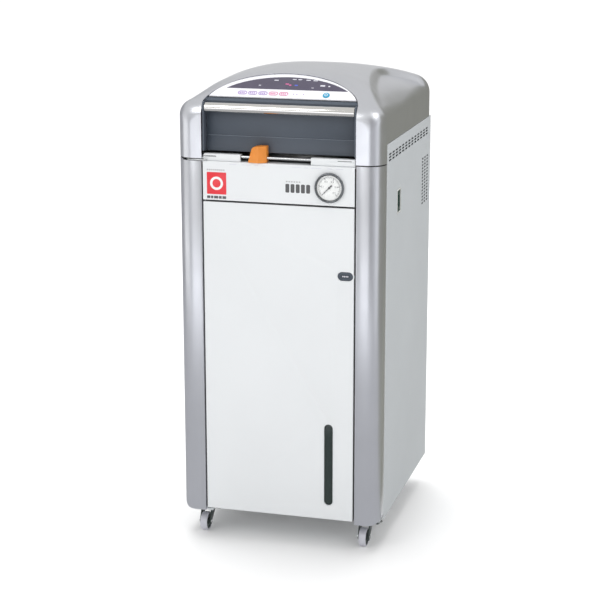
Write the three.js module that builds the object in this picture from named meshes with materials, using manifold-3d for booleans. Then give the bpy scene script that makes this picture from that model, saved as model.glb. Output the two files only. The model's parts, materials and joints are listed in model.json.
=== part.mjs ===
// Floor-standing top-loading autoclave on castors. Millimetres, +Z up, front towards -Y.
// The origin is on the floor, under the middle of the machine's footprint.
import * as THREE from 'three';
import { mergeVertices } from 'three/addons/utils/BufferGeometryUtils.js';
import Module from 'manifold-3d';

const wasm = await Module();
wasm.setup();

// ---- driving dimensions ----
const WIDTH = 440;
const DEPTH = 496;
const HEIGHT = 1008;
const GAP = 0.3;                     // clearance between pieces that touch
const SHEET = 2;                     // casing sheet thickness
const HALF = WIDTH / 2;
const FRONT = -DEPTH / 2 + 8;        // plane of the door's face; the lock knob stands 8 in front
const REAR = DEPTH / 2 - 8;          // plane of the rear panel; the hinge knuckles stand 8 behind
const BODY_BOTTOM = 60;
const DOOR_HALF = 163;
const DOOR_BOTTOM = 66;
const DOOR_TOP = 742;
const FASCIA_BOTTOM = 744;
const FASCIA_TOP = 826;
const COLUMN_TOP = 830;
const HOOD_BOTTOM = 831;             // lower edge of the hood's two front pillars
const SIDE_TOP = 869.5;              // upper edge of the side panels
const HOOD_SIDE_BOTTOM = 870.5;      // lower edge of the hood behind its pillars
const COLUMN_BACK = FRONT + 37;      // where a column gives way to the side panel
const CORNER_R = 36;                 // round corner of a column
const CHAMBER_Y = 45;
const CHAMBER_R = 150;
const CHAMBER_BOTTOM = 180;
const CHAMBER_TOP = 848;
const HINGE_Y = REAR + 2;
const HINGE_R = 6;
const HINGE_Z = 880;
const CASTOR_X = 178;
const CASTOR_FRONT_Y = FRONT + 57;
const CASTOR_REAR_Y = REAR - 52;
const CASTOR_TRAIL = 20;
const WHEEL_R = 20;
const GAUGE_X = 109;
const GAUGE_Z = 782;
const ROD_Z = 836;
const ROD_Y = FRONT + 9;

// ---- materials ----
function finish(color, roughness, metalness) {
  return new THREE.MeshStandardMaterial({ color, roughness, metalness });
}
const silver = finish(0xc9cad6, 0.35, 0.7);
const white = finish(0xeef0f2, 0.45, 0);
const sideGrey = finish(0xc4c7cc, 0.5, 0.1);
const slate = finish(0x4b5561, 0.5, 0);
const steel = finish(0xb9bbbe, 0.3, 0.9);
const chrome = finish(0xf2efe6, 0.12, 1);
const darkPlastic = finish(0x2b2d30, 0.5, 0);
const orange = finish(0xf0902c, 0.35, 0);
const glass = finish(0x1b2420, 0.05, 0);
const rubberGrey = finish(0xcfd0da, 0.7, 0);

// ---- geometry helpers ----
function box(sx, sy, sz, x, y, z) {
  return new THREE.BoxGeometry(sx, sy, sz).translate(x, y, z);
}

// A box given by its lowest and highest corners.
function block(x0, y0, z0, x1, y1, z1) {
  return box(x1 - x0, y1 - y0, z1 - z0, (x0 + x1) / 2, (y0 + y1) / 2, (z0 + z1) / 2);
}

// A cylinder along X, Y or Z, centred on a point.
function rod(axis, radius, length, x, y, z, segments = 20) {
  const g = new THREE.CylinderGeometry(radius, radius, length, segments);
  if (axis === 'x') g.rotateZ(Math.PI / 2);
  if (axis === 'z') g.rotateX(Math.PI / 2);
  return g.translate(x, y, z);
}

// A body of revolution about a vertical axis, from [radius, z] points.
function turned(points, segments = 32) {
  const outline = points.map(([r, z]) => new THREE.Vector2(r, z));
  return new THREE.LatheGeometry(outline, segments).rotateX(Math.PI / 2);
}

// An outline in the XY plane raised along Z between two heights.
function upright(shape, z0, z1, curveSegments = 8) {
  const options = { depth: z1 - z0, bevelEnabled: false, curveSegments };
  return new THREE.ExtrudeGeometry(shape, options).translate(0, 0, z0);
}

// An outline drawn in the XZ plane, as seen from the front, and carried back from y0 to y1.
function carriedBack(shape, y0, y1, curveSegments = 8) {
  const options = { depth: y1 - y0, bevelEnabled: false, curveSegments };
  return new THREE.ExtrudeGeometry(shape, options).rotateX(Math.PI / 2).translate(0, y1, 0);
}

function roundedRect(x0, z0, x1, z1, r) {
  const s = new THREE.Shape();
  s.moveTo(x0 + r, z0);
  s.lineTo(x1 - r, z0);
  s.absarc(x1 - r, z0 + r, r, -Math.PI / 2, 0);
  s.lineTo(x1, z1 - r);
  s.absarc(x1 - r, z1 - r, r, 0, Math.PI / 2);
  s.lineTo(x0 + r, z1);
  s.absarc(x0 + r, z1 - r, r, Math.PI / 2, Math.PI);
  s.lineTo(x0, z0 + r);
  s.absarc(x0 + r, z0 + r, r, Math.PI, Math.PI * 1.5);
  return s;
}

function solid(geometry) {
  const g = geometry.clone();
  g.deleteAttribute('normal');
  g.deleteAttribute('uv');
  const merged = mergeVertices(g, 1e-4);
  const vertProperties = new Float32Array(merged.attributes.position.array);
  const triVerts = new Uint32Array(merged.index.array);
  return new wasm.Manifold(new wasm.Mesh({ numProp: 3, vertProperties, triVerts }));
}

function geometryOf(manifold) {
  const mesh = manifold.getMesh();
  const g = new THREE.BufferGeometry();
  g.setAttribute('position', new THREE.BufferAttribute(new Float32Array(mesh.vertProperties), 3));
  g.setIndex(new THREE.BufferAttribute(new Uint32Array(mesh.triVerts), 1));
  g.computeVertexNormals();
  return g;
}

function join(...parts) {
  return geometryOf(parts.map(solid).reduce((a, b) => a.add(b)));
}

function cut(base, ...tools) {
  return geometryOf(tools.map(solid).reduce((a, b) => a.subtract(b), solid(base)));
}

// The mirror image in the plane x = 0, with its faces turned back to point outwards.
function mirrored(geometry) {
  const g = geometry.index ? geometry.toNonIndexed() : geometry.clone();
  const p = g.attributes.position;
  for (let i = 0; i < p.count; i += 3) {
    const a = [p.getX(i), p.getY(i), p.getZ(i)];
    const b = [p.getX(i + 1), p.getY(i + 1), p.getZ(i + 1)];
    const c = [p.getX(i + 2), p.getY(i + 2), p.getZ(i + 2)];
    p.setXYZ(i, -a[0], a[1], a[2]);
    p.setXYZ(i + 1, -c[0], c[1], c[2]);
    p.setXYZ(i + 2, -b[0], b[1], b[2]);
  }
  return g;
}

const machine = new THREE.Group();
const hood = new THREE.Group();
const door = new THREE.Group();
machine.add(hood, door);

function add(name, geometry, material, group = machine) {
  const mesh = new THREE.Mesh(geometry, material);
  mesh.name = name;
  group.add(mesh);
  return mesh;
}

// ---- base, columns and casing ----
function baseFrame() {
  const tray = block(-HALF + 6, FRONT + 24, BODY_BOTTOM, HALF - 6, REAR - 6, BODY_BOTTOM + 12);
  const hollow = block(-HALF + 60, FRONT + 100, BODY_BOTTOM - 1, HALF - 60, REAR - 110, BODY_BOTTOM + 13);
  const bearer = block(-90, FRONT + 99, BODY_BOTTOM, 90, FRONT + 130, BODY_BOTTOM + 12);
  const hingeTab = block(
    -DOOR_HALF + 1, FRONT + 1, BODY_BOTTOM, -DOOR_HALF + 14, FRONT + 26, BODY_BOTTOM + 4.5);
  return join(cut(tray, hollow), bearer, hingeTab);
}
add('base_frame', baseFrame(), sideGrey);

// The column's plan: a sheet folded round the front corner, open towards the inside.
function columnPlan() {
  const inner = DOOR_HALF + 1.5;
  const wall = 3;
  const s = new THREE.Shape();
  s.moveTo(inner, FRONT + 22);
  s.lineTo(inner, FRONT + 1);
  s.quadraticCurveTo(inner + 0.5, FRONT - 1, inner + 4, FRONT - 1.5);
  s.lineTo(HALF - CORNER_R, FRONT - 1.5);
  s.absarc(HALF - CORNER_R, FRONT - 1.5 + CORNER_R, CORNER_R, -Math.PI / 2, 0);
  s.lineTo(HALF, COLUMN_BACK);
  s.lineTo(HALF - wall, COLUMN_BACK);
  s.lineTo(HALF - wall, FRONT + CORNER_R - 1.5);
  s.absarc(HALF - CORNER_R, FRONT - 1.5 + CORNER_R, CORNER_R - wall, 0, -Math.PI / 2, true);
  s.lineTo(inner + wall, FRONT - 1.5 + wall);
  s.lineTo(inner + wall, FRONT + 22);
  return s;
}

// The outer lower corner of each column is rounded off, as seen from the front.
function lowerCorner() {
  const r = 20;
  const s = new THREE.Shape();
  s.moveTo(HALF + 1, BODY_BOTTOM - 1);
  s.lineTo(HALF + 1, BODY_BOTTOM + r);
  s.lineTo(HALF, BODY_BOTTOM + r);
  s.absarc(HALF - r, BODY_BOTTOM + r, r, 0, -Math.PI / 2, true);
  s.lineTo(HALF - r, BODY_BOTTOM - 1);
  return carriedBack(s, FRONT - 5, COLUMN_BACK + 5);
}
const rightColumn = cut(upright(columnPlan(), BODY_BOTTOM, COLUMN_TOP), lowerCorner());
add('right_column', rightColumn, silver);
const boltNotch = block(-200, FRONT - 5, COLUMN_TOP - 4.5, -156, FRONT + 13, COLUMN_TOP + 1);
add('left_column', cut(mirrored(rightColumn), boltNotch), silver);

// Side panels: flat sheets with a return along the bottom; the right one has the breaker window.
const BREAKER = { y0: FRONT + 136, y1: FRONT + 174, z0: 706, z1: 759 };
const sideSheet = block(HALF - SHEET, COLUMN_BACK + GAP, BODY_BOTTOM + 3, HALF, REAR, SIDE_TOP);
const breakerHole = block(HALF - 5, BREAKER.y0, BREAKER.z0, HALF + 1, BREAKER.y1, BREAKER.z1);
add('right_side_panel', cut(sideSheet, breakerHole), sideGrey);
add('left_side_panel', mirrored(sideSheet), sideGrey);

const REAR_HALF = HALF - SHEET - GAP;
const rearSheet = block(-REAR_HALF, REAR - SHEET, BODY_BOTTOM + 3, REAR_HALF, REAR, SIDE_TOP);
const INLET = { x0: 119, x1: 151, z0: 99, z1: 123 };
const inletHole = block(INLET.x0, REAR - 5, INLET.z0, INLET.x1, REAR + 1, INLET.z1);
add('rear_panel', cut(rearSheet, inletHole), sideGrey);

// The fascia carries the pressure gauge; it is a folded panel with a return along its top.
const fasciaFace = block(-DOOR_HALF, FRONT, FASCIA_BOTTOM, DOOR_HALF, FRONT + 3, FASCIA_TOP);
const fasciaTop = block(-DOOR_HALF, FRONT, FASCIA_TOP - 3, DOOR_HALF, FRONT + 24, FASCIA_TOP);
const gaugeHole = rod('y', 26, 20, GAUGE_X, FRONT, GAUGE_Z, 24);
add('fascia', cut(join(fasciaFace, fasciaTop), gaugeHole), white);

const DECK_Z = 812;
const deckSheet = block(-HALF + 8, FRONT + 25, DECK_Z, HALF - 8, REAR - 4, DECK_Z + 4);
const deckHole = rod('z', CHAMBER_R + 28, 20, 0, CHAMBER_Y, DECK_Z, 40);
add('top_deck', cut(deckSheet, deckHole), sideGrey);

// ---- pressure vessel ----
function vesselOutline() {
  const wall = 4;
  const outer = CHAMBER_R + wall;
  return [
    [0, CHAMBER_BOTTOM - 30], [90, CHAMBER_BOTTOM - 24], [outer - 12, CHAMBER_BOTTOM - 4],
    [outer, CHAMBER_BOTTOM + 16], [outer, CHAMBER_TOP], [CHAMBER_R, CHAMBER_TOP],
    [CHAMBER_R, CHAMBER_BOTTOM + 16], [CHAMBER_R - 10, CHAMBER_BOTTOM], [90, CHAMBER_BOTTOM - 20],
    [0, CHAMBER_BOTTOM - 26],
  ];
}
function onChamberAxis(geometry) {
  return geometry.translate(0, CHAMBER_Y, 0);
}
add('chamber_vessel', onChamberAxis(turned(vesselOutline())), steel);

const flangeIn = CHAMBER_R + 4 + GAP;
const flangeOut = CHAMBER_R + 32;
add('chamber_flange', onChamberAxis(turned([
  [flangeIn, CHAMBER_TOP - 20], [flangeOut, CHAMBER_TOP - 20], [flangeOut, CHAMBER_TOP],
  [flangeIn, CHAMBER_TOP], [flangeIn, CHAMBER_TOP - 20],
])), steel);

const jacketIn = CHAMBER_R + 5;
const jacketOut = CHAMBER_R + 24;
const jacketLow = CHAMBER_BOTTOM + 20;
const jacketTop = DECK_Z - 2;
add('insulation_jacket', onChamberAxis(turned([
  [jacketIn, jacketLow], [jacketOut, jacketLow], [jacketOut, jacketTop], [jacketIn, jacketTop],
  [jacketIn, jacketLow],
], 32)), rubberGrey);

const heaterRing = new THREE.TorusGeometry(105, 5, 6, 24).translate(0, CHAMBER_Y, CHAMBER_BOTTOM + 12);
add('heater_element', heaterRing, steel);

// The perforated plate that keeps the basket above the heater, on a short skirt.
const plateZ = CHAMBER_BOTTOM + 42;
const plateBody = onChamberAxis(turned([
  [0, plateZ - 3], [128, plateZ - 3], [128, plateZ - 22], [131, plateZ - 22], [131, plateZ], [0, plateZ],
], 32));
const plateHoles = [];
for (let i = 0; i < 8; i++) {
  const angle = (i / 8) * Math.PI * 2;
  plateHoles.push(rod('z', 12, 20, 80 * Math.cos(angle), CHAMBER_Y + 80 * Math.sin(angle), plateZ, 8));
}
add('basket_support_plate', cut(plateBody, ...plateHoles), steel);

// Basket: a deep round basket with a bail folded inside its rim.
const basketZ = plateZ + 0.6;
const BASKET_R = 134;
const BASKET_H = 290;
add('basket', onChamberAxis(turned([
  [0, basketZ], [BASKET_R, basketZ], [BASKET_R, basketZ + BASKET_H - 4],
  [BASKET_R + 3, basketZ + BASKET_H - 4],
  [BASKET_R + 3, basketZ + BASKET_H], [BASKET_R - 3, basketZ + BASKET_H], [BASKET_R - 3, basketZ + 3],
  [0, basketZ + 3],
], 32)), steel);

// ---- steam and water fittings ----
const VALVE_Z = 700;
function safetyValve() {
  const x = 150;
  const y = REAR - 45;
  const body = turned([
    [0, 0], [9, 0], [9, 16], [13, 18], [13, 38], [8, 42], [8, 62], [5, 64], [5, 74], [0, 74],
  ], 16).translate(x, y, VALVE_Z);
  const outlet = rod('y', 6, 26, x, y - 15, VALVE_Z + 28, 12);
  return join(body, outlet);
}
add('safety_valve', safetyValve(), finish(0xc9a24a, 0.35, 0.9));

const DRAIN = { x: -70, y: FRONT + 60, z: 112 };
function drainValve() {
  const pipe = rod('x', 9, 74, DRAIN.x, DRAIN.y, DRAIN.z, 16);
  const collar = rod('x', 15, 34, DRAIN.x, DRAIN.y, DRAIN.z, 16);
  const neck = rod('y', 7, 20, DRAIN.x, DRAIN.y - 18, DRAIN.z, 12);
  const foot = block(DRAIN.x - 10, DRAIN.y - 6, BODY_BOTTOM + 12 + GAP, DRAIN.x + 10, DRAIN.y + 6, DRAIN.z);
  return join(pipe, collar, neck, foot);
}
add('drain_valve', drainValve(), steel);
const leverY = DRAIN.y - 32;
const leverHub = rod('y', 9, 6, DRAIN.x, leverY, DRAIN.z, 16);
const leverArm = block(DRAIN.x, leverY - 3, DRAIN.z - 6, DRAIN.x + 62, leverY + 1, DRAIN.z + 6);
add('drain_lever', join(leverHub, leverArm), finish(0xb03028, 0.4, 0));

// Exhaust bottle behind the door's window slot, with its screw cap and the exhaust hose.
const BOTTLE = { x: 88, y: FRONT + 66, w: 104, d: 70, top: 262 };
function exhaustBottle() {
  const plan = roundedRect(-BOTTLE.w / 2, -BOTTLE.d / 2, BOTTLE.w / 2, BOTTLE.d / 2, 14);
  const shell = upright(plan, BODY_BOTTOM + 12 + GAP, BOTTLE.top, 3).translate(BOTTLE.x, BOTTLE.y, 0);
  const hollowPlan = roundedRect(
    3 - BOTTLE.w / 2, 3 - BOTTLE.d / 2, BOTTLE.w / 2 - 3, BOTTLE.d / 2 - 3, 12);
  const hollow = upright(hollowPlan, BODY_BOTTOM + 16, BOTTLE.top - 3, 3).translate(BOTTLE.x, BOTTLE.y, 0);
  const neck = rod('z', 20, 22, BOTTLE.x, BOTTLE.y, BOTTLE.top + 8, 16);
  const mouth = rod('z', 17, 60, BOTTLE.x, BOTTLE.y, BOTTLE.top + 8, 16);
  return cut(join(shell, neck), hollow, mouth);
}
add('exhaust_bottle', exhaustBottle(), finish(0xdfe6e6, 0.3, 0));
function bottleCap() {
  const cap = rod('z', 25, 26, BOTTLE.x, BOTTLE.y, BOTTLE.top + 17, 20);
  const room = rod('z', 20 + GAP, 24, BOTTLE.x, BOTTLE.y, BOTTLE.top + 8, 20);
  const bore = rod('z', 6 + GAP, 60, BOTTLE.x, BOTTLE.y, BOTTLE.top + 17, 12);
  return cut(cap, room, bore);
}
add('bottle_cap', bottleCap(), darkPlastic);

// The exhaust hose drops from the vessel's side outlet into the bottle.
function exhaustHose() {
  const route = new THREE.CatmullRomCurve3([
    new THREE.Vector3(BOTTLE.x, BOTTLE.y, BOTTLE.top - 60),
    new THREE.Vector3(BOTTLE.x, BOTTLE.y, BOTTLE.top + 60),
    new THREE.Vector3(BOTTLE.x - 2, BOTTLE.y, BOTTLE.top + 150),
    new THREE.Vector3(BOTTLE.x - 12, BOTTLE.y + 2, BOTTLE.top + 220),
    new THREE.Vector3(BOTTLE.x - 40, BOTTLE.y + 14, BOTTLE.top + 262),
    new THREE.Vector3(BOTTLE.x - 58, BOTTLE.y + 34, BOTTLE.top + 268),
  ]);
  const section = new THREE.Shape().absarc(0, 0, 5, 0, Math.PI * 2);
  const options = { steps: 20, bevelEnabled: false, extrudePath: route, curveSegments: 4 };
  return new THREE.ExtrudeGeometry(section, options);
}
add('exhaust_hose', exhaustHose(), rubberGrey);

// ---- electrics ----
const boxX = HALF - SHEET - 1;
add('control_box', block(boxX - 46, BREAKER.y1 + 8, 300, boxX, BREAKER.y1 + 76, 500), sideGrey);
const breakerMidY = (BREAKER.y0 + BREAKER.y1) / 2;
const breakerMidZ = (BREAKER.z0 + BREAKER.z1) / 2;
function breakerBody() {
  const body = block(HALF - 44, BREAKER.y0 - 4, BREAKER.z0 - 6, HALF - 6, BREAKER.y1 + 4, BREAKER.z1 + 6);
  const well = block(HALF - 20, breakerMidY - 6, breakerMidZ - 13, HALF, breakerMidY + 6, breakerMidZ + 13);
  return cut(body, well);
}
add('breaker_body', breakerBody(), darkPlastic);
function breakerBezel() {
  const plate = block(
    HALF - 5.7, BREAKER.y0 + GAP, BREAKER.z0 + GAP, HALF, BREAKER.y1 - GAP, BREAKER.z1 - GAP);
  const window = block(HALF - 9, BREAKER.y0 + 3, BREAKER.z0 + 3, HALF + 2, BREAKER.y1 - 3, BREAKER.z1 - 3);
  return cut(plate, window);
}
add('breaker_bezel', breakerBezel(), white);

// The breaker's toggle rocks about a Y axis inside the well.
const toggleX = HALF - 14;
const toggleHub = rod('y', 5, 10, toggleX, breakerMidY, breakerMidZ, 16);
const toggleStick = block(
  toggleX, breakerMidY - 4, breakerMidZ - 2.5, HALF - 2, breakerMidY + 4, breakerMidZ + 2.5);
const toggle = join(toggleHub, toggleStick);
toggle.translate(-toggleX, 0, -breakerMidZ).rotateY(0.45).translate(toggleX, 0, breakerMidZ);
add('breaker_toggle', toggle, white);

const inletBody = block(
  INLET.x0 + GAP, REAR - 30, INLET.z0 + GAP, INLET.x1 - GAP, REAR + 1, INLET.z1 - GAP);
const inletWell = block(INLET.x0 + 4, REAR - 14, INLET.z0 + 4, INLET.x1 - 4, REAR + 2, INLET.z1 - 4);
add('power_inlet', cut(inletBody, inletWell), darkPlastic);

// ---- pressure gauge ----
function dialShape(points) {
  return turned(points, 24).rotateX(-Math.PI / 2).translate(GAUGE_X, 0, GAUGE_Z);
}
const gaugeBack = FRONT + 26;
const dialY = FRONT - 2.2;
add('gauge_case', dialShape([
  [0, gaugeBack], [25.5, gaugeBack], [25.5, FRONT - 0.5], [23.5, FRONT - 0.5],
  [23.5, gaugeBack - 2], [0, gaugeBack - 2],
].reverse()), darkPlastic);
add('gauge_dial', dialShape([[0, dialY], [26, dialY], [26, dialY + 1.2], [0, dialY + 1.2]]), white);
add('gauge_bezel', dialShape([
  [26.4, FRONT - 0.4], [31, FRONT - 0.4], [31, FRONT - 4], [29, FRONT - 6.8],
  [26.4, FRONT - 6.8], [26.4, FRONT - 0.4],
].reverse()), chrome);
const glassProfile = [[0, FRONT - 6.2], [26.1, FRONT - 6.2], [26.1, FRONT - 5], [0, FRONT - 5]];
add('gauge_glass', dialShape(glassProfile), glass);

// The needle points down to the left at zero pressure.
const needleY = dialY - 1.1;
const needleHub = rod('y', 2.6, 1, GAUGE_X, needleY, GAUGE_Z, 12);
const needleArm = box(26, 0.5, 1.1, GAUGE_X + 8, needleY, GAUGE_Z);
const needle = join(needleHub, needleArm);
needle.translate(-GAUGE_X, 0, -GAUGE_Z).rotateY(Math.PI * 0.75).translate(GAUGE_X, 0, GAUGE_Z);
add('gauge_needle', needle, darkPlastic);

// ---- hood lock: a rod behind two guide plates, pushed sideways by the knob ----
const GUIDE_Z0 = FASCIA_TOP + GAP;
const GUIDE_Z1 = 841;
function guidePlate(x0, x1) {
  const front = block(x0, ROD_Y - 6, GUIDE_Z0, x1, ROD_Y - 4, GUIDE_Z1);
  const top = block(x0, ROD_Y - 6, GUIDE_Z1 - 2, x1, ROD_Y + 7, GUIDE_Z1);
  return join(front, top);
}
const leftSlot = block(-170, ROD_Y - 8, ROD_Z - 1.2, -128, ROD_Y - 2, ROD_Z + 1.2);
add('left_guide_plate', cut(guidePlate(-160, -81), leftSlot), white);
add('right_guide_plate', guidePlate(69, 162), white);
const lockRod = rod('x', 3, 300, -6, ROD_Y, ROD_Z, 12);
const leftBolt = block(-187, ROD_Y - 2.4, COLUMN_TOP - 3, -150, ROD_Y + 2.4, ROD_Z + 2.4);
add('lock_rod', join(lockRod, leftBolt), steel);

// Knob: a block with a leaning, rounded left flank and a ridge down its front, astride the rod.
const KNOB = { left: -63, ridge: -40, right: -25, low: FASCIA_TOP + 0.5, top: 861 };
function lockKnob() {
  const s = new THREE.Shape();
  s.moveTo(KNOB.left, KNOB.low);
  s.lineTo(KNOB.right, KNOB.low);
  s.lineTo(KNOB.right, KNOB.top);
  s.lineTo(KNOB.ridge - 5, KNOB.top - 1);
  s.quadraticCurveTo(KNOB.left + 6, KNOB.top - 4, KNOB.left + 3, KNOB.top - 16);
  s.lineTo(KNOB.left, KNOB.low);
  const body = carriedBack(s, FRONT - 8, FRONT + 19, 5);
  const plan = new THREE.Shape();
  plan.moveTo(KNOB.left - 7, FRONT - 1);
  plan.lineTo(KNOB.ridge, FRONT - 8);
  plan.lineTo(KNOB.right + 5, FRONT + 8);
  plan.lineTo(KNOB.right + 5, FRONT + 30);
  plan.lineTo(KNOB.left - 7, FRONT + 30);
  const wedge = upright(plan, KNOB.low - 5, KNOB.top + 5);
  const shaped = geometryOf(solid(body).intersect(solid(wedge)));
  return cut(shaped, rod('x', 3 + GAP, 120, -50, ROD_Y, ROD_Z, 12));
}
add('lock_knob', lockKnob(), orange);

// ---- rear hinge ----
const HINGE_SPAN = 150;
add('hinge_pin', rod('x', 3, 2 * HINGE_SPAN + 4, 0, HINGE_Y, HINGE_Z, 12), steel);
function hingeKnuckles() {
  const ears = [];
  for (const x of [-HINGE_SPAN + 10, HINGE_SPAN - 10]) {
    const barrel = rod('x', HINGE_R, 26, x, HINGE_Y, HINGE_Z, 16);
    const strap = block(x - 13, REAR + GAP, HINGE_Z - 42, x + 13, REAR + 3, HINGE_Z);
    ears.push(join(barrel, strap));
  }
  const bridge = block(-HINGE_SPAN, REAR + GAP, HINGE_Z - 42, HINGE_SPAN, REAR + 3, HINGE_Z - 22);
  return cut(join(...ears, bridge), rod('x', 3 + GAP, 400, 0, HINGE_Y, HINGE_Z, 12));
}
add('hinge_bracket', hingeKnuckles(), steel);

// ---- hood ----
// Profile from front to back: height of the roof's middle and of its two edges.
const HOOD_FRONT = FRONT - 1.5;
const HOOD_REAR = REAR - 1;
const roofMiddle = new THREE.SplineCurve([
  [HOOD_FRONT, 930], [FRONT + 6, 951], [FRONT + 45, 981], [FRONT + 85, 1003], [FRONT + 140, HEIGHT],
  [FRONT + 260, 1006], [FRONT + 400, 993], [HOOD_REAR - 14, 981], [HOOD_REAR, 962],
].map(([y, z]) => new THREE.Vector2(y, z)));
const roofEdge = new THREE.SplineCurve([
  [HOOD_FRONT, 924], [FRONT + 6, 939], [FRONT + 45, 950], [FRONT + 90, 956], [FRONT + 140, 959],
  [FRONT + 260, 961], [FRONT + 400, 960], [HOOD_REAR - 14, 954], [HOOD_REAR, 940],
].map(([y, z]) => new THREE.Vector2(y, z)));

function heightAt(curve, y) {
  let low = 0;
  let high = 1;
  for (let i = 0; i < 30; i++) {
    const mid = (low + high) / 2;
    if (curve.getPoint(mid).x < y) low = mid;
    else high = mid;
  }
  return curve.getPoint(low).y;
}

// The hood narrows by a few millimetres at its front and rear corners.
function halfWidthAt(y, inset) {
  const fromFront = y - HOOD_FRONT;
  const fromRear = HOOD_REAR - y;
  let w = HALF;
  if (fromFront < CORNER_R) w -= CORNER_R - Math.sqrt(CORNER_R ** 2 - (CORNER_R - fromFront) ** 2);
  if (fromRear < 14) w -= 14 - Math.sqrt(14 ** 2 - (14 - fromRear) ** 2);
  return w - inset;
}

// One cross-section, from the lower right edge over the roof to the lower left edge.
function hoodSection(y, bottom, inset) {
  const shoulder = 30 - inset;
  const w = halfWidthAt(y, inset);
  const edge = heightAt(roofEdge, y) - inset;
  const middle = heightAt(roofMiddle, y) - inset;
  const right = [[w, bottom]];
  const arcSteps = 5;
  for (let i = 0; i <= arcSteps; i++) {
    const a = (i / arcSteps) * Math.PI * 0.45;
    right.push([w - shoulder + shoulder * Math.cos(a), edge - shoulder + shoulder * Math.sin(a)]);
  }
  const last = right[right.length - 1];
  const roofSteps = 6;
  for (let i = 1; i < roofSteps; i++) {
    const x = last[0] * (1 - i / roofSteps);
    right.push([x, last[1] + (middle - last[1]) * (1 - (x / last[0]) ** 2)]);
  }
  const left = right.map(([x, z]) => [-x, z]).reverse();
  return [...right, [0, middle], ...left].map(([x, z]) => [x, y, z]);
}

function lofted(sections) {
  const n = sections[0].length;
  const positions = sections.flat(2);
  const index = [];
  for (let j = 0; j < sections.length - 1; j++) {
    for (let i = 0; i < n; i++) {
      const a = j * n + i;
      const b = j * n + ((i + 1) % n);
      index.push(a, a + n, b, b, a + n, b + n);
    }
  }
  const firstRow = 0;
  const lastRow = (sections.length - 1) * n;
  for (let i = 1; i < n - 1; i++) {
    index.push(firstRow, firstRow + i, firstRow + i + 1);
    index.push(lastRow, lastRow + i + 1, lastRow + i);
  }
  const g = new THREE.BufferGeometry();
  g.setAttribute('position', new THREE.BufferAttribute(new Float32Array(positions), 3));
  g.setIndex(index);
  return g;
}

const HOOD_WALL = 4;
function hoodBody(bottom, inset) {
  const stations = [0.3, 2, 8, 20, 40, 70, 110, 170, 260, 350, 420, 460, 470, 475];
  const fit = (s) => HOOD_FRONT + inset + (s / 475.3) * (HOOD_REAR - HOOD_FRONT - 2 * inset);
  return lofted(stations.map((s) => hoodSection(fit(s), bottom, inset)));
}

// The arched opening slopes back from the pillars' tops to the crown.
const ARCH_TILT = 0.65;
const ARCH_FOOT = { y: FRONT + 5, z: 950 };
const ARCH_HEIGHT = 96;
function archTool(rx, rise, depth, lift) {
  const s = new THREE.Shape();
  s.moveTo(-rx, -30);
  s.lineTo(rx, -30);
  s.lineTo(rx, 0);
  s.absellipse(0, 0, rx, rise, 0, Math.PI);
  s.lineTo(-rx, -30);
  const g = new THREE.ExtrudeGeometry(s, { depth, bevelEnabled: false, curveSegments: 16 });
  g.translate(0, 0, lift);
  return g.rotateX(ARCH_TILT).translate(0, ARCH_FOOT.y, ARCH_FOOT.z);
}

function hoodShell() {
  const outside = hoodBody(HOOD_BOTTOM, 0);
  const inside = hoodBody(HOOD_BOTTOM - 20, HOOD_WALL);
  const sideCut = block(-HALF - 5, COLUMN_BACK, HOOD_BOTTOM - 5, HALF + 5, REAR + 5, HOOD_SIDE_BOTTOM);
  const frontOpening = block(
    -DOOR_HALF - 1, FRONT - 10, HOOD_BOTTOM - 5, DOOR_HALF + 1, FRONT + 30, ARCH_FOOT.z);
  const hingeX = HINGE_SPAN + 6;
  const hingeNotch = block(-hingeX, HINGE_Y - 12, HOOD_BOTTOM, hingeX, REAR + 5, HINGE_Z + 7);
  const arch = archTool(DOOR_HALF + 1, ARCH_HEIGHT, 60, -14);
  return cut(outside, inside, sideCut, frontOpening, hingeNotch, arch);
}
add('hood_shell', hoodShell(), silver, hood);

// The half-moon control panel with the key strip along its foot, set back inside the arch.
const PANEL_R = DOOR_HALF - 2;
function panelPlate(lowS, highS, thick, lift) {
  const plate = archTool(PANEL_R, ARCH_HEIGHT - 2, thick, lift);
  const band = box(400, highS - lowS, 60, 0, (lowS + highS) / 2, 0);
  band.rotateX(ARCH_TILT).translate(0, ARCH_FOOT.y, ARCH_FOOT.z);
  return geometryOf(solid(plate).intersect(solid(band)));
}
const PANEL_DEPTH = -13;
add('control_panel', panelPlate(49.5, 120, 3, PANEL_DEPTH), finish(0x4b4655, 0.35, 0), hood);
const startKey = { x: 91, s: 37 };
const keyPlace = (g) => g.rotateX(ARCH_TILT).translate(0, ARCH_FOOT.y, ARCH_FOOT.z);
const keyHole = keyPlace(rod('z', 7.4, 20, startKey.x, startKey.s, PANEL_DEPTH, 20));
add('keypad_strip', cut(panelPlate(25, 49.2, 3, PANEL_DEPTH), keyHole), white, hood);
const keyTop = keyPlace(rod('z', 7, 4, startKey.x, startKey.s, PANEL_DEPTH + 2.6, 20));
add('start_key', keyTop, finish(0x2a9fc8, 0.3, 0), hood);

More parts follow.
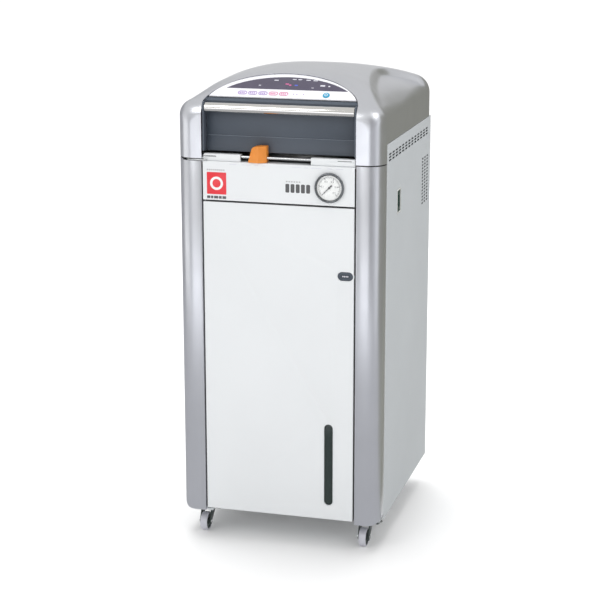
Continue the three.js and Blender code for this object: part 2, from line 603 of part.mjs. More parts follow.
// Slate front panel between the pillars, folded along a crease, and the handle bar above it.
const BAR = { y: FRONT + 13, z: 935.5, r: 10.3 };
function frontPanel() {
  const s = new THREE.Shape();
  s.moveTo(FRONT + 21, HOOD_BOTTOM + 14);
  s.lineTo(FRONT + 24, 877);
  s.lineTo(FRONT + 24, 938);
  s.lineTo(FRONT + 27, 938);
  s.lineTo(FRONT + 27, 877);
  s.lineTo(FRONT + 24, HOOD_BOTTOM + 14);
  const g = new THREE.ExtrudeGeometry(s, { depth: 2 * DOOR_HALF, bevelEnabled: false });
  g.rotateX(Math.PI / 2).rotateZ(Math.PI / 2).translate(-DOOR_HALF, 0, 0);
  const cheeks = [-1, 1].map((side) => {
    const x = side * (DOOR_HALF - 2);
    return block(x - 2, BAR.y - 9, BAR.z - 12, x + 2, FRONT + 26, BAR.z + 2);
  });
  return join(g, ...cheeks);
}
add('front_panel', frontPanel(), slate, hood);
add('handle_bar', rod('x', BAR.r, 2 * (DOOR_HALF - 4 - GAP), 0, BAR.y, BAR.z, 24), chrome, hood);

// Pressure lid: a dished disc on the hood's cross arm, with its gasket in a groove.
const lidZ = CHAMBER_TOP + 3;
add('pressure_lid', onChamberAxis(turned([
  [0, lidZ], [flangeOut - 4, lidZ], [flangeOut - 4, lidZ + 8],
  [150, lidZ + 9], [80, lidZ + 16], [0, lidZ + 18],
])), steel, hood);
add('lid_gasket', onChamberAxis(turned([
  [CHAMBER_R + 2, CHAMBER_TOP + GAP], [CHAMBER_R + 14, CHAMBER_TOP + GAP], [CHAMBER_R + 14, lidZ - GAP],
  [CHAMBER_R + 2, lidZ - GAP], [CHAMBER_R + 2, CHAMBER_TOP + GAP],
])), darkPlastic, hood);
function lidArm() {
  const postLow = lidZ + 18 + GAP;
  const postHigh = lidZ + 66;
  const post = rod('z', 16, postHigh - postLow, 0, CHAMBER_Y, (postLow + postHigh) / 2, 16);
  const beam = block(-24, CHAMBER_Y - 30, lidZ + 60, 24, HINGE_Y - 12, lidZ + 72);
  const cross = block(-120, HINGE_Y - 26, lidZ + 30, 120, HINGE_Y - 12, lidZ + 72);
  const barrel = rod('x', HINGE_R, 230, 0, HINGE_Y, HINGE_Z, 16);
  const web = block(-110, HINGE_Y - 14, HINGE_Z + 1, 110, HINGE_Y - 2.2, HINGE_Z + 5);
  return cut(join(post, beam, cross, barrel, web), rod('x', 3 + GAP, 400, 0, HINGE_Y, HINGE_Z, 12));
}
add('lid_arm', lidArm(), sideGrey, hood);

// ---- front door ----
const DOOR_BACK = FRONT + 18;
const WINDOW = { x0: 99, x1: 118, z0: 98, z1: 278 };
const LATCH = { x: 143, z: 599, w: 33, h: 19 };
const DOOR_HINGE = { x: -DOOR_HALF + 5, y: FRONT + 5, r: 2 };
function doorPlan() {
  const r = 3;
  const s = new THREE.Shape();
  s.moveTo(-DOOR_HALF, DOOR_BACK);
  s.lineTo(-DOOR_HALF, FRONT + r);
  s.absarc(-DOOR_HALF + r, FRONT + r, r, Math.PI, Math.PI * 1.5);
  s.lineTo(DOOR_HALF - r, FRONT);
  s.absarc(DOOR_HALF - r, FRONT + r, r, -Math.PI / 2, 0);
  s.lineTo(DOOR_HALF, DOOR_BACK);
  return s;
}
function doorPanel() {
  const skin = upright(doorPlan(), DOOR_BOTTOM, DOOR_TOP, 4);
  const pinHole = rod('z', DOOR_HINGE.r + GAP, 800, DOOR_HINGE.x, DOOR_HINGE.y, 400, 12);
  const pocket = block(
    -DOOR_HALF + 2, FRONT + 2, DOOR_BOTTOM + 2, DOOR_HALF - 2, DOOR_BACK + 5, DOOR_TOP - 2);
  const slotOutline = roundedRect(WINDOW.x0, WINDOW.z0, WINDOW.x1, WINDOW.z1, 2);
  const slot = carriedBack(slotOutline, FRONT - 5, FRONT + 9, 3);
  const frame = block(WINDOW.x0 - 6, FRONT + 1, WINDOW.z0 - 6, WINDOW.x1 + 6, FRONT + 6, WINDOW.z1 + 6);
  const latchHole = carriedBack(latchOutline(0), FRONT - 5, FRONT + 15, 8);
  const boss = block(LATCH.x - 19, FRONT + 1, LATCH.z - 14, LATCH.x + 19, FRONT + 10, LATCH.z + 14);
  const shell = cut(skin, pocket);
  return cut(join(shell, frame, boss), slot, latchHole, pinHole);
}
function latchOutline(inset) {
  const r = LATCH.h / 2 - inset;
  const reach = LATCH.w / 2 - LATCH.h / 2;
  const s = new THREE.Shape();
  s.moveTo(LATCH.x - reach, LATCH.z - r);
  s.lineTo(LATCH.x + reach, LATCH.z - r);
  s.absarc(LATCH.x + reach, LATCH.z, r, -Math.PI / 2, Math.PI / 2);
  s.lineTo(LATCH.x - reach, LATCH.z + r);
  s.absarc(LATCH.x - reach, LATCH.z, r, Math.PI / 2, Math.PI * 1.5);
  return s;
}
add('front_door', doorPanel(), white, door);
const pane = carriedBack(
  roundedRect(WINDOW.x0 + GAP, WINDOW.z0 + GAP, WINDOW.x1 - GAP, WINDOW.z1 - GAP, 2),
  FRONT + 1.6, FRONT + 4, 3);
add('door_window', pane, glass, door);
const latchHead = carriedBack(latchOutline(0.5), FRONT - 0.2, FRONT + 4, 8);
const latchStem = rod('y', 5, 12, LATCH.x, FRONT + 9, LATCH.z, 12);
add('latch_button', join(latchHead, latchStem), slate, door);

// The door turns on one long pin between a tab of the base frame and the fascia.
const pinLow = BODY_BOTTOM + 4.5 + GAP;
const pinHigh = FASCIA_BOTTOM - GAP;
add('door_hinge_pin', rod(
  'z', DOOR_HINGE.r, pinHigh - pinLow, DOOR_HINGE.x, DOOR_HINGE.y, (pinLow + pinHigh) / 2, 12), steel);

// The catch that the latch button's stem faces, carried by a bracket on the right column side.
const catchFace = FRONT + 22.5;
const catchBody = block(LATCH.x - 12, catchFace, LATCH.z - 16, LATCH.x + 40, catchFace + 14, LATCH.z + 16);
add('door_catch', catchBody, darkPlastic);

// ---- castors ----
function castorFork(x, y, towardsFront) {
  const head = rod('z', 15, 8, x, y, BODY_BOTTOM - 7.3, 16);
  const wheelY = y + towardsFront * CASTOR_TRAIL;
  const legs = [-1, 1].map((side) => {
    const leg = new THREE.Shape();
    leg.moveTo(y + 12, BODY_BOTTOM - 8);
    leg.lineTo(y - 12, BODY_BOTTOM - 8);
    leg.lineTo(wheelY - 6, WHEEL_R - 3);
    leg.lineTo(wheelY + 6, WHEEL_R - 3);
    const g = new THREE.ExtrudeGeometry(leg, { depth: 2, bevelEnabled: false });
    return g.rotateX(Math.PI / 2).rotateZ(Math.PI / 2).translate(x + side * 11 - 1, 0, 0);
  });
  const bridge = block(x - 12, y - 12, BODY_BOTTOM - 13, x + 12, y + 12, BODY_BOTTOM - 8);
  const axle = rod('x', 3, 28, x, wheelY, WHEEL_R, 10);
  return join(head, bridge, ...legs, axle);
}
function castorWheel(x, y) {
  const profile = [
    [3.3, -8], [WHEEL_R - 1.5, -8], [WHEEL_R, -6], [WHEEL_R, 6], [WHEEL_R - 1.5, 8], [3.3, 8], [3.3, -8],
  ];
  return turned(profile, 24).rotateY(Math.PI / 2).translate(x, y, WHEEL_R);
}
function brakePedal(x, y) {
  const pivotY = y + 6;
  const s = new THREE.Shape();
  s.moveTo(pivotY, 40);
  s.lineTo(pivotY + 8, 44);
  s.lineTo(pivotY + 44, 33);
  s.lineTo(pivotY + 44, 28.5);
  s.lineTo(pivotY + 8, 37);
  const g = new THREE.ExtrudeGeometry(s, { depth: 12, bevelEnabled: false });
  return g.rotateX(Math.PI / 2).rotateZ(Math.PI / 2).translate(x + 13, 0, 0);
}
for (const [side, sign] of [['left', -1], ['right', 1]]) {
  for (const [end, y] of [['front', CASTOR_FRONT_Y], ['rear', CASTOR_REAR_Y]]) {
    const x = sign * CASTOR_X;
    add(`${end}_${side}_castor_fork`, castorFork(x, y, -1), steel);
    add(`${end}_${side}_castor_wheel`, castorWheel(x, y - CASTOR_TRAIL), rubberGrey);
    if (end === 'front') add(`${side}_brake_pedal`, brakePedal(x, y), darkPlastic);
  }
}

export default machine;
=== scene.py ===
"""Looks of the floor-standing autoclave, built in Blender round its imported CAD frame."""
import json
import math

import bmesh
import bpy
import numpy as np
from mathutils import Matrix, Vector


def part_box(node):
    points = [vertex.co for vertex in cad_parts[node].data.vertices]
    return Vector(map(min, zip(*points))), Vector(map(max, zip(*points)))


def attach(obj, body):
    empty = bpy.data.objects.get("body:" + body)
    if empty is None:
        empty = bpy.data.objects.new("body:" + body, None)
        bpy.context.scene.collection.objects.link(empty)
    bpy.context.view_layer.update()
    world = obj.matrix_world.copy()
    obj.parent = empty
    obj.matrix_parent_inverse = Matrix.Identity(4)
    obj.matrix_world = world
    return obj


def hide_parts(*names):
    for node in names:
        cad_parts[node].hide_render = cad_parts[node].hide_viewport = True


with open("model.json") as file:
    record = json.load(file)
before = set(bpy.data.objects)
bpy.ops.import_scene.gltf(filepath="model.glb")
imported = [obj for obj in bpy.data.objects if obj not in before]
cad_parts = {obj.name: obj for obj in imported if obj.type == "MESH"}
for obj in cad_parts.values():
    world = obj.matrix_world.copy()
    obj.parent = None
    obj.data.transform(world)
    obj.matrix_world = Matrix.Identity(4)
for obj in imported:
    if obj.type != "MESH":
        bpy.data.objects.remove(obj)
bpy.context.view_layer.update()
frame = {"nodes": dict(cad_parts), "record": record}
scene = bpy.context.scene

# ---------------------------------------------------------------- sizes, in millimetres
MM = 0.001


def node_box(name):
    """A CAD node's lowest and highest corners, in millimetres."""
    low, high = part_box(name)
    return [c / MM for c in low], [c / MM for c in high]


def middle_of(low, high):
    """The middle of a box, from its lowest and highest corners."""
    return [(a + b) / 2 for a, b in zip(low, high)]


door_low, door_high = node_box("front_door")
FRONT = door_low[1]
DOOR_HALF = door_high[0]
DOOR_Z0, DOOR_Z1 = door_low[2], door_high[2]
column_low, column_high = node_box("right_column")
HALF = column_high[0]
FACE = column_low[1]
COLUMN_BACK = column_high[1]
BODY_BOTTOM, COLUMN_TOP = column_low[2], column_high[2]
side_low, side_high = node_box("right_side_panel")
REAR, SIDE_Z0, SIDE_TOP = side_high[1], side_low[2], side_high[2]
fascia_low, fascia_high = node_box("fascia")
hood_low, hood_high = node_box("hood_shell")
HOOD_BOTTOM, HOOD_TOP = hood_low[2], hood_high[2]
HOOD_REAR = hood_high[1]
vessel_low, vessel_high = node_box("chamber_vessel")
CHAMBER_Y = middle_of(vessel_low, vessel_high)[1]
VESSEL_R = vessel_high[0]
CHAMBER_TOP = vessel_high[2]
CORNER_R = 36
SEAM = 0.3
SCREW_Z = 76


# ---------------------------------------------------------------- mesh helpers
def link(name, mesh):
    obj = bpy.data.objects.new(name, mesh)
    scene.collection.objects.link(obj)
    return obj


def mesh_of(name, bm):
    mesh = bpy.data.meshes.new(name)
    bm.to_mesh(mesh)
    bm.free()
    return mesh


def from_bmesh(name, bm):
    """An object made from a mesh drawn in millimetres."""
    bmesh.ops.recalc_face_normals(bm, faces=bm.faces[:])
    bmesh.ops.scale(bm, vec=(MM, MM, MM), verts=bm.verts[:])
    return link(name, mesh_of(name, bm))


def round_edges(bm, radius, segments, angle=0.6):
    """Bevels every edge whose faces meet at more than an angle."""
    if radius <= 0:
        return
    bm.normal_update()
    edges = [e for e in bm.edges if len(e.link_faces) == 2 and e.calc_face_angle() > angle]
    bmesh.ops.bevel(bm, geom=edges, offset=radius, segments=segments, profile=0.5, affect="EDGES",
                    clamp_overlap=True)


def block(name, low, high, radius=0.8, segments=3):
    """A box with rounded edges, from its lowest to its highest corner."""
    bm = bmesh.new()
    bmesh.ops.create_cube(bm, size=1)
    bmesh.ops.scale(bm, vec=[h - l for l, h in zip(low, high)], verts=bm.verts[:])
    bmesh.ops.translate(bm, vec=middle_of(low, high), verts=bm.verts[:])
    round_edges(bm, radius, segments)
    return from_bmesh(name, bm)


def prism(name, outline, start, end, axis="y", radius=0.6, segments=2, angle=0.6):
    """A flat outline carried along an axis: (x, z) points along Y, (x, y) along Z, (y, z) along X."""
    def point(a, b, h):
        return {"x": (h, a, b), "y": (a, h, b), "z": (a, b, h)}[axis]
    bm = bmesh.new()
    rows = [[bm.verts.new(point(a, b, h)) for a, b in outline] for h in (start, end)]
    bm.faces.new(rows[0])
    bm.faces.new(rows[1][::-1])
    count = len(outline)
    for i in range(count):
        j = (i + 1) % count
        bm.faces.new((rows[0][j], rows[0][i], rows[1][i], rows[1][j]))
    bmesh.ops.recalc_face_normals(bm, faces=bm.faces[:])
    round_edges(bm, radius, segments, angle)
    return from_bmesh(name, bm)


def band(inner, outer, low, high):
    """A rectangular profile between two radii and two heights: a disc's when the inner radius is 0."""
    return [(inner, low), (outer, low), (outer, high), (inner, high)]


def lathe(name, profile, centre, axis="z", steps=64, closed=False, soft=0, soft_steps=3):
    """A body of revolution; the profile is (radius, height) points, and closed makes it a ring."""
    if soft:
        profile = softened(profile, soft, soft_steps, closed)

    def point(r, h, t):
        a, b = r * math.cos(t), r * math.sin(t)
        x, y, z = {"x": (h, a, b), "y": (a, h, b), "z": (a, b, h)}[axis]
        return (x + centre[0], y + centre[1], z + centre[2])
    bm = bmesh.new()
    rings = []
    for r, h in profile:
        if r < 1e-6:
            rings.append([bm.verts.new(point(0, h, 0))])
        else:
            rings.append([bm.verts.new(point(r, h, 2 * math.pi * k / steps)) for k in range(steps)])
    for a, b in zip(rings, rings[1:] + rings[:1] if closed else rings[1:]):
        for k in range(steps):
            n = (k + 1) % steps
            if len(a) == 1 and len(b) == 1:
                continue
            if len(a) == 1:
                bm.faces.new((a[0], b[k], b[n]))
            elif len(b) == 1:
                bm.faces.new((a[k], a[n], b[0]))
            else:
                bm.faces.new((a[k], a[n], b[n], b[k]))
    return from_bmesh(name, bm)


def softened(profile, radius, steps, closed):
    """The profile with each corner replaced by a short arc-like curve."""
    out = []
    count = len(profile)
    for i, p in enumerate(profile):
        if not closed and i in (0, count - 1):
            out.append(tuple(p))
            continue
        here = np.array(p, float)
        before = np.array(profile[i - 1], float) - here
        after = np.array(profile[(i + 1) % count], float) - here
        cut = min(radius, np.linalg.norm(before) * 0.45, np.linalg.norm(after) * 0.45)
        a = here + before / np.linalg.norm(before) * cut
        b = here + after / np.linalg.norm(after) * cut
        for k in range(steps + 1):
            t = k / steps
            out.append(tuple((1 - t) ** 2 * a + 2 * t * (1 - t) * here + t * t * b))
    return out


def join_rows(bm, rows, closed=False):
    """Skins rows of points of the same length with four-sided faces, each row a closed loop."""
    for a, b in zip(rows, rows[1:] + rows[:1] if closed else rows[1:]):
        for k in range(len(a)):
            n = (k + 1) % len(a)
            bm.faces.new((a[k], a[n], b[n], b[k]))


def tube(name, points, radius, sides=14, closed=False):
    """A round bar along a line of points, with flat ends or joined end to end."""
    points = [Vector(p) for p in points]
    count = len(points)
    bm = bmesh.new()
    rings = []
    side = None
    for i, p in enumerate(points):
        before = points[i - 1] if closed or i else p
        after = points[(i + 1) % count] if closed or i < count - 1 else p
        along = (after - before).normalized()
        if side is None:
            side = along.orthogonal().normalized()
        side = (side - along * side.dot(along)).normalized()
        other = along.cross(side)
        ring = []
        for k in range(sides):
            t = 2 * math.pi * k / sides
            ring.append(bm.verts.new(p + (side * math.cos(t) + other * math.sin(t)) * radius))
        rings.append(ring)
    join_rows(bm, rings, closed)
    if not closed:
        bm.faces.new(rings[0][::-1])
        bm.faces.new(rings[-1])
    return from_bmesh(name, bm)


def pill(x, z, width, height, steps=8):
    """An outline with round ends, long way along whichever side is longer."""
    r = min(width, height) / 2
    reach_x, reach_z = width / 2 - r, height / 2 - r
    out = []
    for k in range(4 * steps + 4):
        quarter = k // (steps + 1)
        t = (quarter + (k % (steps + 1)) / steps) * math.pi / 2
        sx = 1 if quarter in (0, 3) else -1
        sz = 1 if quarter in (0, 1) else -1
        p = (x + sx * reach_x + r * math.cos(t), z + sz * reach_z + r * math.sin(t))
        if not out or math.dist(out[-1], p) > 1e-4:
            out.append(p)
    if math.dist(out[0], out[-1]) < 1e-4:
        out.pop()
    return out


def arc(centre, radius, start, end, steps, rise=None):
    """Points on an arc between two angles in quarter turns, or on an ellipse that has another rise."""
    turns = [(start + (end - start) * k / steps) * math.pi / 2 for k in range(steps + 1)]
    rise = rise or radius
    return [(centre[0] + radius * math.cos(t), centre[1] + rise * math.sin(t)) for t in turns]


def round_rect(x0, z0, x1, z1, r, steps=6):
    """A rectangle's outline with round corners."""
    out = []
    for quarter, corner in enumerate(((x1 - r, z0 + r), (x1 - r, z1 - r), (x0 + r, z1 - r),
                                      (x0 + r, z0 + r))):
        out += arc(corner, r, quarter - 1, quarter, steps)
    return out


def round_the_chamber(radius, count, turn=0.0):
    """Evenly spaced (x, y) places on a circle about the chamber's axis."""
    angles = [2 * math.pi * (k + turn) / count for k in range(count)]
    return [(radius * math.cos(t), CHAMBER_Y + radius * math.sin(t)) for t in angles]


def bake(obj):
    """Applies the object's modifiers."""
    graph = bpy.context.evaluated_depsgraph_get()
    mesh = bpy.data.meshes.new_from_object(obj.evaluated_get(graph))
    old = obj.data
    obj.modifiers.clear()
    obj.data = mesh
    bpy.data.meshes.remove(old)
    return obj


def carve(obj, *tools, operation="DIFFERENCE"):
    """Cuts the tools out of the object, and removes the tools."""
    for tool in tools:
        m = obj.modifiers.new("cut", "BOOLEAN")
        m.operation = operation
        m.object = tool
        m.solver = "MANIFOLD"
    bake(obj)
    for tool in tools:
        bpy.data.objects.remove(tool)
    return obj


def soften(obj, width, segments=2, angle=0.7):
    """Rounds the object's sharp edges after its cuts."""
    m = obj.modifiers.new("soften", "BEVEL")
    m.width = width * MM
    m.segments = segments
    m.limit_method = "ANGLE"
    m.angle_limit = angle
    m.use_clamp_overlap = True
    return bake(obj)


def gathered(name, *parts):
    """One object made of several, each left as its own shell."""
    bm = bmesh.new()
    for part in parts:
        bm.from_mesh(part.data)
        bpy.data.objects.remove(part)
    return link(name, mesh_of(name, bm))


def mirrored(name, obj):
    """The object on the other side of x = 0, in place of the one given."""
    bm = bmesh.new()
    bm.from_mesh(obj.data)
    bmesh.ops.scale(bm, vec=(-1, 1, 1), verts=bm.verts[:])
    bmesh.ops.reverse_faces(bm, faces=bm.faces[:])
    made = link(name, mesh_of(name, bm))
    bpy.data.objects.remove(obj)
    return made


def placed(obj, turn, shift):
    """Turns the object's mesh about the origin, then moves it, both in millimetres."""
    obj.data.transform(Matrix.Translation(Vector(shift) * MM) @ turn)
    return obj


def curve_through(points):
    """A smooth function of one value that passes through the points."""
    xs = np.array([p[0] for p in points], float)
    zs = np.array([p[1] for p in points], float)
    gaps = np.diff(xs)
    slopes = np.diff(zs) / gaps
    tangents = np.concatenate([
        slopes[:1], (slopes[:-1] * gaps[1:] + slopes[1:] * gaps[:-1]) / (gaps[1:] + gaps[:-1]), slopes[-1:]])

    def value(x):
        x = min(max(x, xs[0]), xs[-1])
        i = min(int(np.searchsorted(xs, x, side="right")) - 1, len(gaps) - 1)
        t = (x - xs[i]) / gaps[i]
        return ((1 + 2 * t) * (1 - t) ** 2 * zs[i] + t * (1 - t) ** 2 * gaps[i] * tangents[i]
                + t * t * (3 - 2 * t) * zs[i + 1] + t * t * (t - 1) * gaps[i] * tangents[i + 1])
    return value


def smooth_pairs(points, steps=6):
    """A flat closed outline made smooth."""
    ring = [(a, b, 0) for a, b in points]
    dense = smooth_path([ring[-1]] + ring + ring[:2], steps)
    return [(p[0], p[1]) for p in dense[steps:-steps - 1]]


def smooth_path(points, steps=10):
    """A dense smooth line through the points."""
    out = []
    for i in range(len(points) - 1):
        p0 = Vector(points[max(i - 1, 0)])
        p1, p2 = Vector(points[i]), Vector(points[i + 1])
        p3 = Vector(points[min(i + 2, len(points) - 1)])
        for k in range(steps):
            t = k / steps
            out.append(0.5 * (2 * p1 + (p2 - p0) * t + (2 * p0 - 5 * p1 + 4 * p2 - p3) * t * t
                              + (3 * p1 - p0 - 3 * p2 + p3) * t ** 3))
    out.append(Vector(points[-1]))
    return out


# ---------------------------------------------------------------- materials
FLAKE_SCALE = 2600
COAT_ROUGHNESS = 0.08


def ramp_between(nodes, links, source, low, high, a=0.3, b=0.7):
    """The source value turned into a colour, from low at a to high at b."""
    ramp = nodes.new("ShaderNodeValToRGB")
    for stop, place_at, colour in zip(ramp.color_ramp.elements, (a, b), (low, high)):
        stop.position = place_at
        stop.color = (*colour, 1)
    links.new(source, ramp.inputs["Fac"])
    return ramp.outputs["Color"]


def surface(name, colour, roughness, metallic=0.0, mottle=0.04, mottle_size=14, spread=0.06, grain_size=900,
            bump=0.05, bump_depth=0.1, stretch=(1, 1, 1), edge=0.0, edge_colour=(0.9, 0.9, 0.9), coat=0.0,
            alpha=1.0, specular=0.5, flakes=0.0, sheen=0.0, transmission=0.0):
    """A material whose colour, gloss and fine relief all vary with place on the piece."""
    mat = bpy.data.materials.new(name)
    mat.use_nodes = True
    nodes, links = mat.node_tree.nodes, mat.node_tree.links
    shader = nodes["Principled BSDF"]
    where = nodes.new("ShaderNodeTexCoord")
    mapping = nodes.new("ShaderNodeMapping")
    mapping.inputs["Scale"].default_value = stretch
    links.new(where.outputs["Object"], mapping.inputs["Vector"])

    def noise(scale, detail=3.0, through=True):
        n = nodes.new("ShaderNodeTexNoise")
        n.inputs["Scale"].default_value = scale
        n.inputs["Detail"].default_value = detail
        links.new(mapping.outputs["Vector"] if through else where.outputs["Object"], n.inputs["Vector"])
        return n.outputs["Fac"]

    cloud = noise(mottle_size, 4.0)
    low = [max(c * (1 - mottle), 0) for c in colour]
    high = [min(c * (1 + mottle), 1) for c in colour]
    shade = ramp_between(nodes, links, cloud, low, high)
    # Where edge is given, sharp edges, found by pointiness, turn towards edge_colour: a painted highlight
    # along the edges.
    if edge:
        geometry = nodes.new("ShaderNodeNewGeometry")
        edge_highlight = ramp_between(nodes, links, geometry.outputs["Pointiness"], (0, 0, 0), (edge,) * 3, 0.5, 0.62)
        mix = nodes.new("ShaderNodeMixRGB")
        links.new(edge_highlight, mix.inputs["Fac"])
        links.new(shade, mix.inputs["Color1"])
        mix.inputs["Color2"].default_value = (*edge_colour, 1)
        shade = mix.outputs["Color"]
    links.new(shade, shader.inputs["Base Color"])
    fine = noise(grain_size, 2.0)
    gloss = nodes.new("ShaderNodeMapRange")
    gloss.inputs["To Min"].default_value = max(roughness - spread, 0.01)
    gloss.inputs["To Max"].default_value = min(roughness + spread, 1)
    smudge = noise(mottle_size * 2.3, 5.0, False)
    links.new(smudge, gloss.inputs["Value"])
    links.new(gloss.outputs["Result"], shader.inputs["Roughness"])
    relief = nodes.new("ShaderNodeBump")
    relief.inputs["Strength"].default_value = bump
    relief.inputs["Distance"].default_value = bump_depth * MM
    height = fine
    if flakes:
        cells = nodes.new("ShaderNodeTexVoronoi")
        cells.inputs["Scale"].default_value = FLAKE_SCALE
        links.new(where.outputs["Object"], cells.inputs["Vector"])
        total = nodes.new("ShaderNodeMath")
        total.operation = "MULTIPLY_ADD"
        links.new(cells.outputs["Distance"], total.inputs[0])
        total.inputs[1].default_value = flakes
        links.new(fine, total.inputs[2])
        height = total.outputs["Value"]
    links.new(height, relief.inputs["Height"])
    links.new(relief.outputs["Normal"], shader.inputs["Normal"])
    shader.inputs["Metallic"].default_value = metallic
    shader.inputs["Specular IOR Level"].default_value = specular
    shader.inputs["Coat Weight"].default_value = coat
    shader.inputs["Coat Roughness"].default_value = COAT_ROUGHNESS
    shader.inputs["Sheen Weight"].default_value = sheen
    shader.inputs["Alpha"].default_value = alpha
    shader.inputs["Transmission Weight"].default_value = transmission
    return mat


# In these, edge and edge_colour set the painted highlight along sharp edges.
MATERIALS = {
    "silver": surface("silver_paint", (0.83, 0.845, 0.885), 0.31, 0.96, mottle=0.02, flakes=0.35, bump=0.05,
                      grain_size=1400, coat=0.1, edge=0.12, edge_colour=(0.86, 0.87, 0.9)),
    "white_panel": surface("white_enamel", (0.78, 0.80, 0.815), 0.5, mottle=0.012, mottle_size=5, bump=0.04,
                           grain_size=420, bump_depth=0.2),
    "side_grey": surface("powder_coat", (0.51, 0.535, 0.55), 0.66, 0.0, mottle=0.02, mottle_size=6, bump=0.16,
                         grain_size=1300, bump_depth=0.2, specular=0.2),
    "stainless": surface("satin_stainless", (0.74, 0.745, 0.75), 0.36, 0.85, mottle=0.03, mottle_size=30,
                         grain_size=700, bump=0.02, bump_depth=0.05),
    "bright_steel": surface("zinc_plate", (0.68, 0.69, 0.69), 0.24, 1.0, mottle=0.10, mottle_size=160,
                            stretch=(0.05, 1, 1), grain_size=1200, bump=0.08, bump_depth=0.05),
    "dark_steel": surface("dark_plate", (0.035, 0.05, 0.047), 0.4, 0.3, mottle=0.25, mottle_size=140,
                          bump=0.2, grain_size=800, edge=0.25, edge_colour=(0.30, 0.34, 0.32)),
    "chrome_trim": surface("warm_chrome", (0.93, 0.915, 0.88), 0.075, 1.0, mottle=0.015, mottle_size=30,
                           spread=0.02, bump=0.01, stretch=(0.05, 1, 1)),
    "insulation": surface("glass_fibre_blanket", (0.76, 0.76, 0.73), 0.9, mottle=0.08, mottle_size=45,
                          bump=0.8, grain_size=260, bump_depth=1.2, sheen=0.2),
    "brass_fitting": surface("turned_brass", (0.72, 0.54, 0.24), 0.28, 1.0, mottle=0.08, mottle_size=120,
                             stretch=(1, 1, 0.1), bump=0.08),
    "red_plastic": surface("red_grip", (0.55, 0.05, 0.04), 0.35, mottle=0.06, mottle_size=60, bump=0.1,
                           coat=0.2),
    "bottle_plastic": surface("milky_plastic", (0.80, 0.84, 0.84), 0.32, mottle=0.04, mottle_size=22,
                              bump=0.12, grain_size=160, alpha=0.82, transmission=0.15),
    "dark_plastic": surface("black_plastic", (0.028, 0.029, 0.032), 0.42, mottle=0.15, mottle_size=40,
                            bump=0.3, grain_size=1500, edge=0.2, edge_colour=(0.16, 0.16, 0.17)),
    "white_plastic": surface("white_plastic", (0.82, 0.83, 0.80), 0.3, mottle=0.03, mottle_size=60, bump=0.1,
                             coat=0.2),
    "hose_rubber": surface("silicone_hose", (0.52, 0.52, 0.49), 0.55, mottle=0.08, mottle_size=60, bump=0.2,
                           grain_size=500),
    "dial_white": surface("dial_print", (0.90, 0.91, 0.90), 0.4, mottle=0.01, mottle_size=70, bump=0.03),
    "clear_glass": surface("gauge_glass", (0.92, 0.95, 0.95), 0.04, mottle=0.01, spread=0.01, bump=0.004,
                           alpha=0.05, specular=0.5),
    "dark_glass": surface("smoked_window", (0.022, 0.036, 0.033), 0.09, mottle=0.12, mottle_size=12,
                          spread=0.03, bump=0.01, alpha=0.93, coat=0.4),
    "orange_plastic": surface("orange_plastic", (0.78, 0.24, 0.018), 0.38, mottle=0.06, mottle_size=45,
                              bump=0.14, grain_size=600, edge=0.45, edge_colour=(1.0, 0.5, 0.14)),
    "panel_film": surface("panel_film", (0.085, 0.075, 0.115), 0.3, mottle=0.08, mottle_size=30, bump=0.08,
                          grain_size=1200, coat=0.2),
    "key_film": surface("key_film", (0.86, 0.86, 0.90), 0.36, mottle=0.02, mottle_size=30, bump=0.06,
                        grain_size=1200),
    "blue_plastic": surface("cyan_key", (0.03, 0.38, 0.62), 0.25, mottle=0.05, mottle_size=160, bump=0.06,
                            coat=0.4),
    "slate": surface("slate_plastic", (0.050, 0.064, 0.086), 0.42, mottle=0.07, mottle_size=16, bump=0.25,
                     grain_size=1000, bump_depth=0.15, edge=0.25, edge_colour=(0.3, 0.34, 0.4)),
    "gasket_rubber": surface("gasket_rubber", (0.03, 0.03, 0.032), 0.6, mottle=0.2, mottle_size=60, bump=0.3,
                             grain_size=700, sheen=0.1),
    "castor_tyre": surface("castor_tyre", (0.60, 0.60, 0.66), 0.5, mottle=0.06, mottle_size=90, bump=0.25,
                           grain_size=500, edge=0.2),
}
PRINT = {
    "grey": surface("grey_print", (0.10, 0.10, 0.105), 0.5, mottle=0.05, mottle_size=200),
    "pale_grey": surface("pale_grey_print", (0.45, 0.45, 0.46), 0.5, mottle=0.05, mottle_size=200),
    "red": surface("red_badge", (0.78, 0.022, 0.035), 0.3, mottle=0.03, mottle_size=60, coat=0.3, bump=0.05),
    "white": surface("white_print", (0.88, 0.88, 0.88), 0.4, mottle=0.02, mottle_size=90),
    "violet": surface("violet_print", (0.36, 0.20, 0.55), 0.4, mottle=0.06, mottle_size=200),
    "pink": surface("pink_print", (0.72, 0.16, 0.36), 0.4, mottle=0.06, mottle_size=200),
    "blue": surface("blue_print", (0.10, 0.14, 0.62), 0.4, mottle=0.06, mottle_size=200),
    "light": surface("light_print", (0.70, 0.70, 0.76), 0.4, mottle=0.04, mottle_size=200),
}


def place(obj, body, slot, *nodes, paint=None, angle=0.6):
    """Gives a finished piece its material and smooth shading, and seats it on its body."""
    obj.data.materials.clear()
    obj.data.materials.append(paint or MATERIALS[slot])
    obj.data.shade_smooth()
    obj.data.set_sharp_from_angle(angle=angle)
    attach(obj, body)
    if nodes:
        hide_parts(*nodes)
    return obj


SLOT_OF = {row["node"]: row["material_slot"] for row in frame["record"]["subparts"]}
for node_name, node_object in frame["nodes"].items():
    node_object.data.materials.clear()
    node_object.data.materials.append(MATERIALS[SLOT_OF[node_name]])


# ---------------------------------------------------------------- columns and casing
SIDES = (("right", 1), ("left", -1))
SHEET = 3
LOWER_CORNER_R = 20
GAP_SHADE_SHRINK = 0.965
NOTCH = (-211, FRONT - 5, COLUMN_TOP - 4.5), (-150, FRONT + 13, COLUMN_TOP + 2)


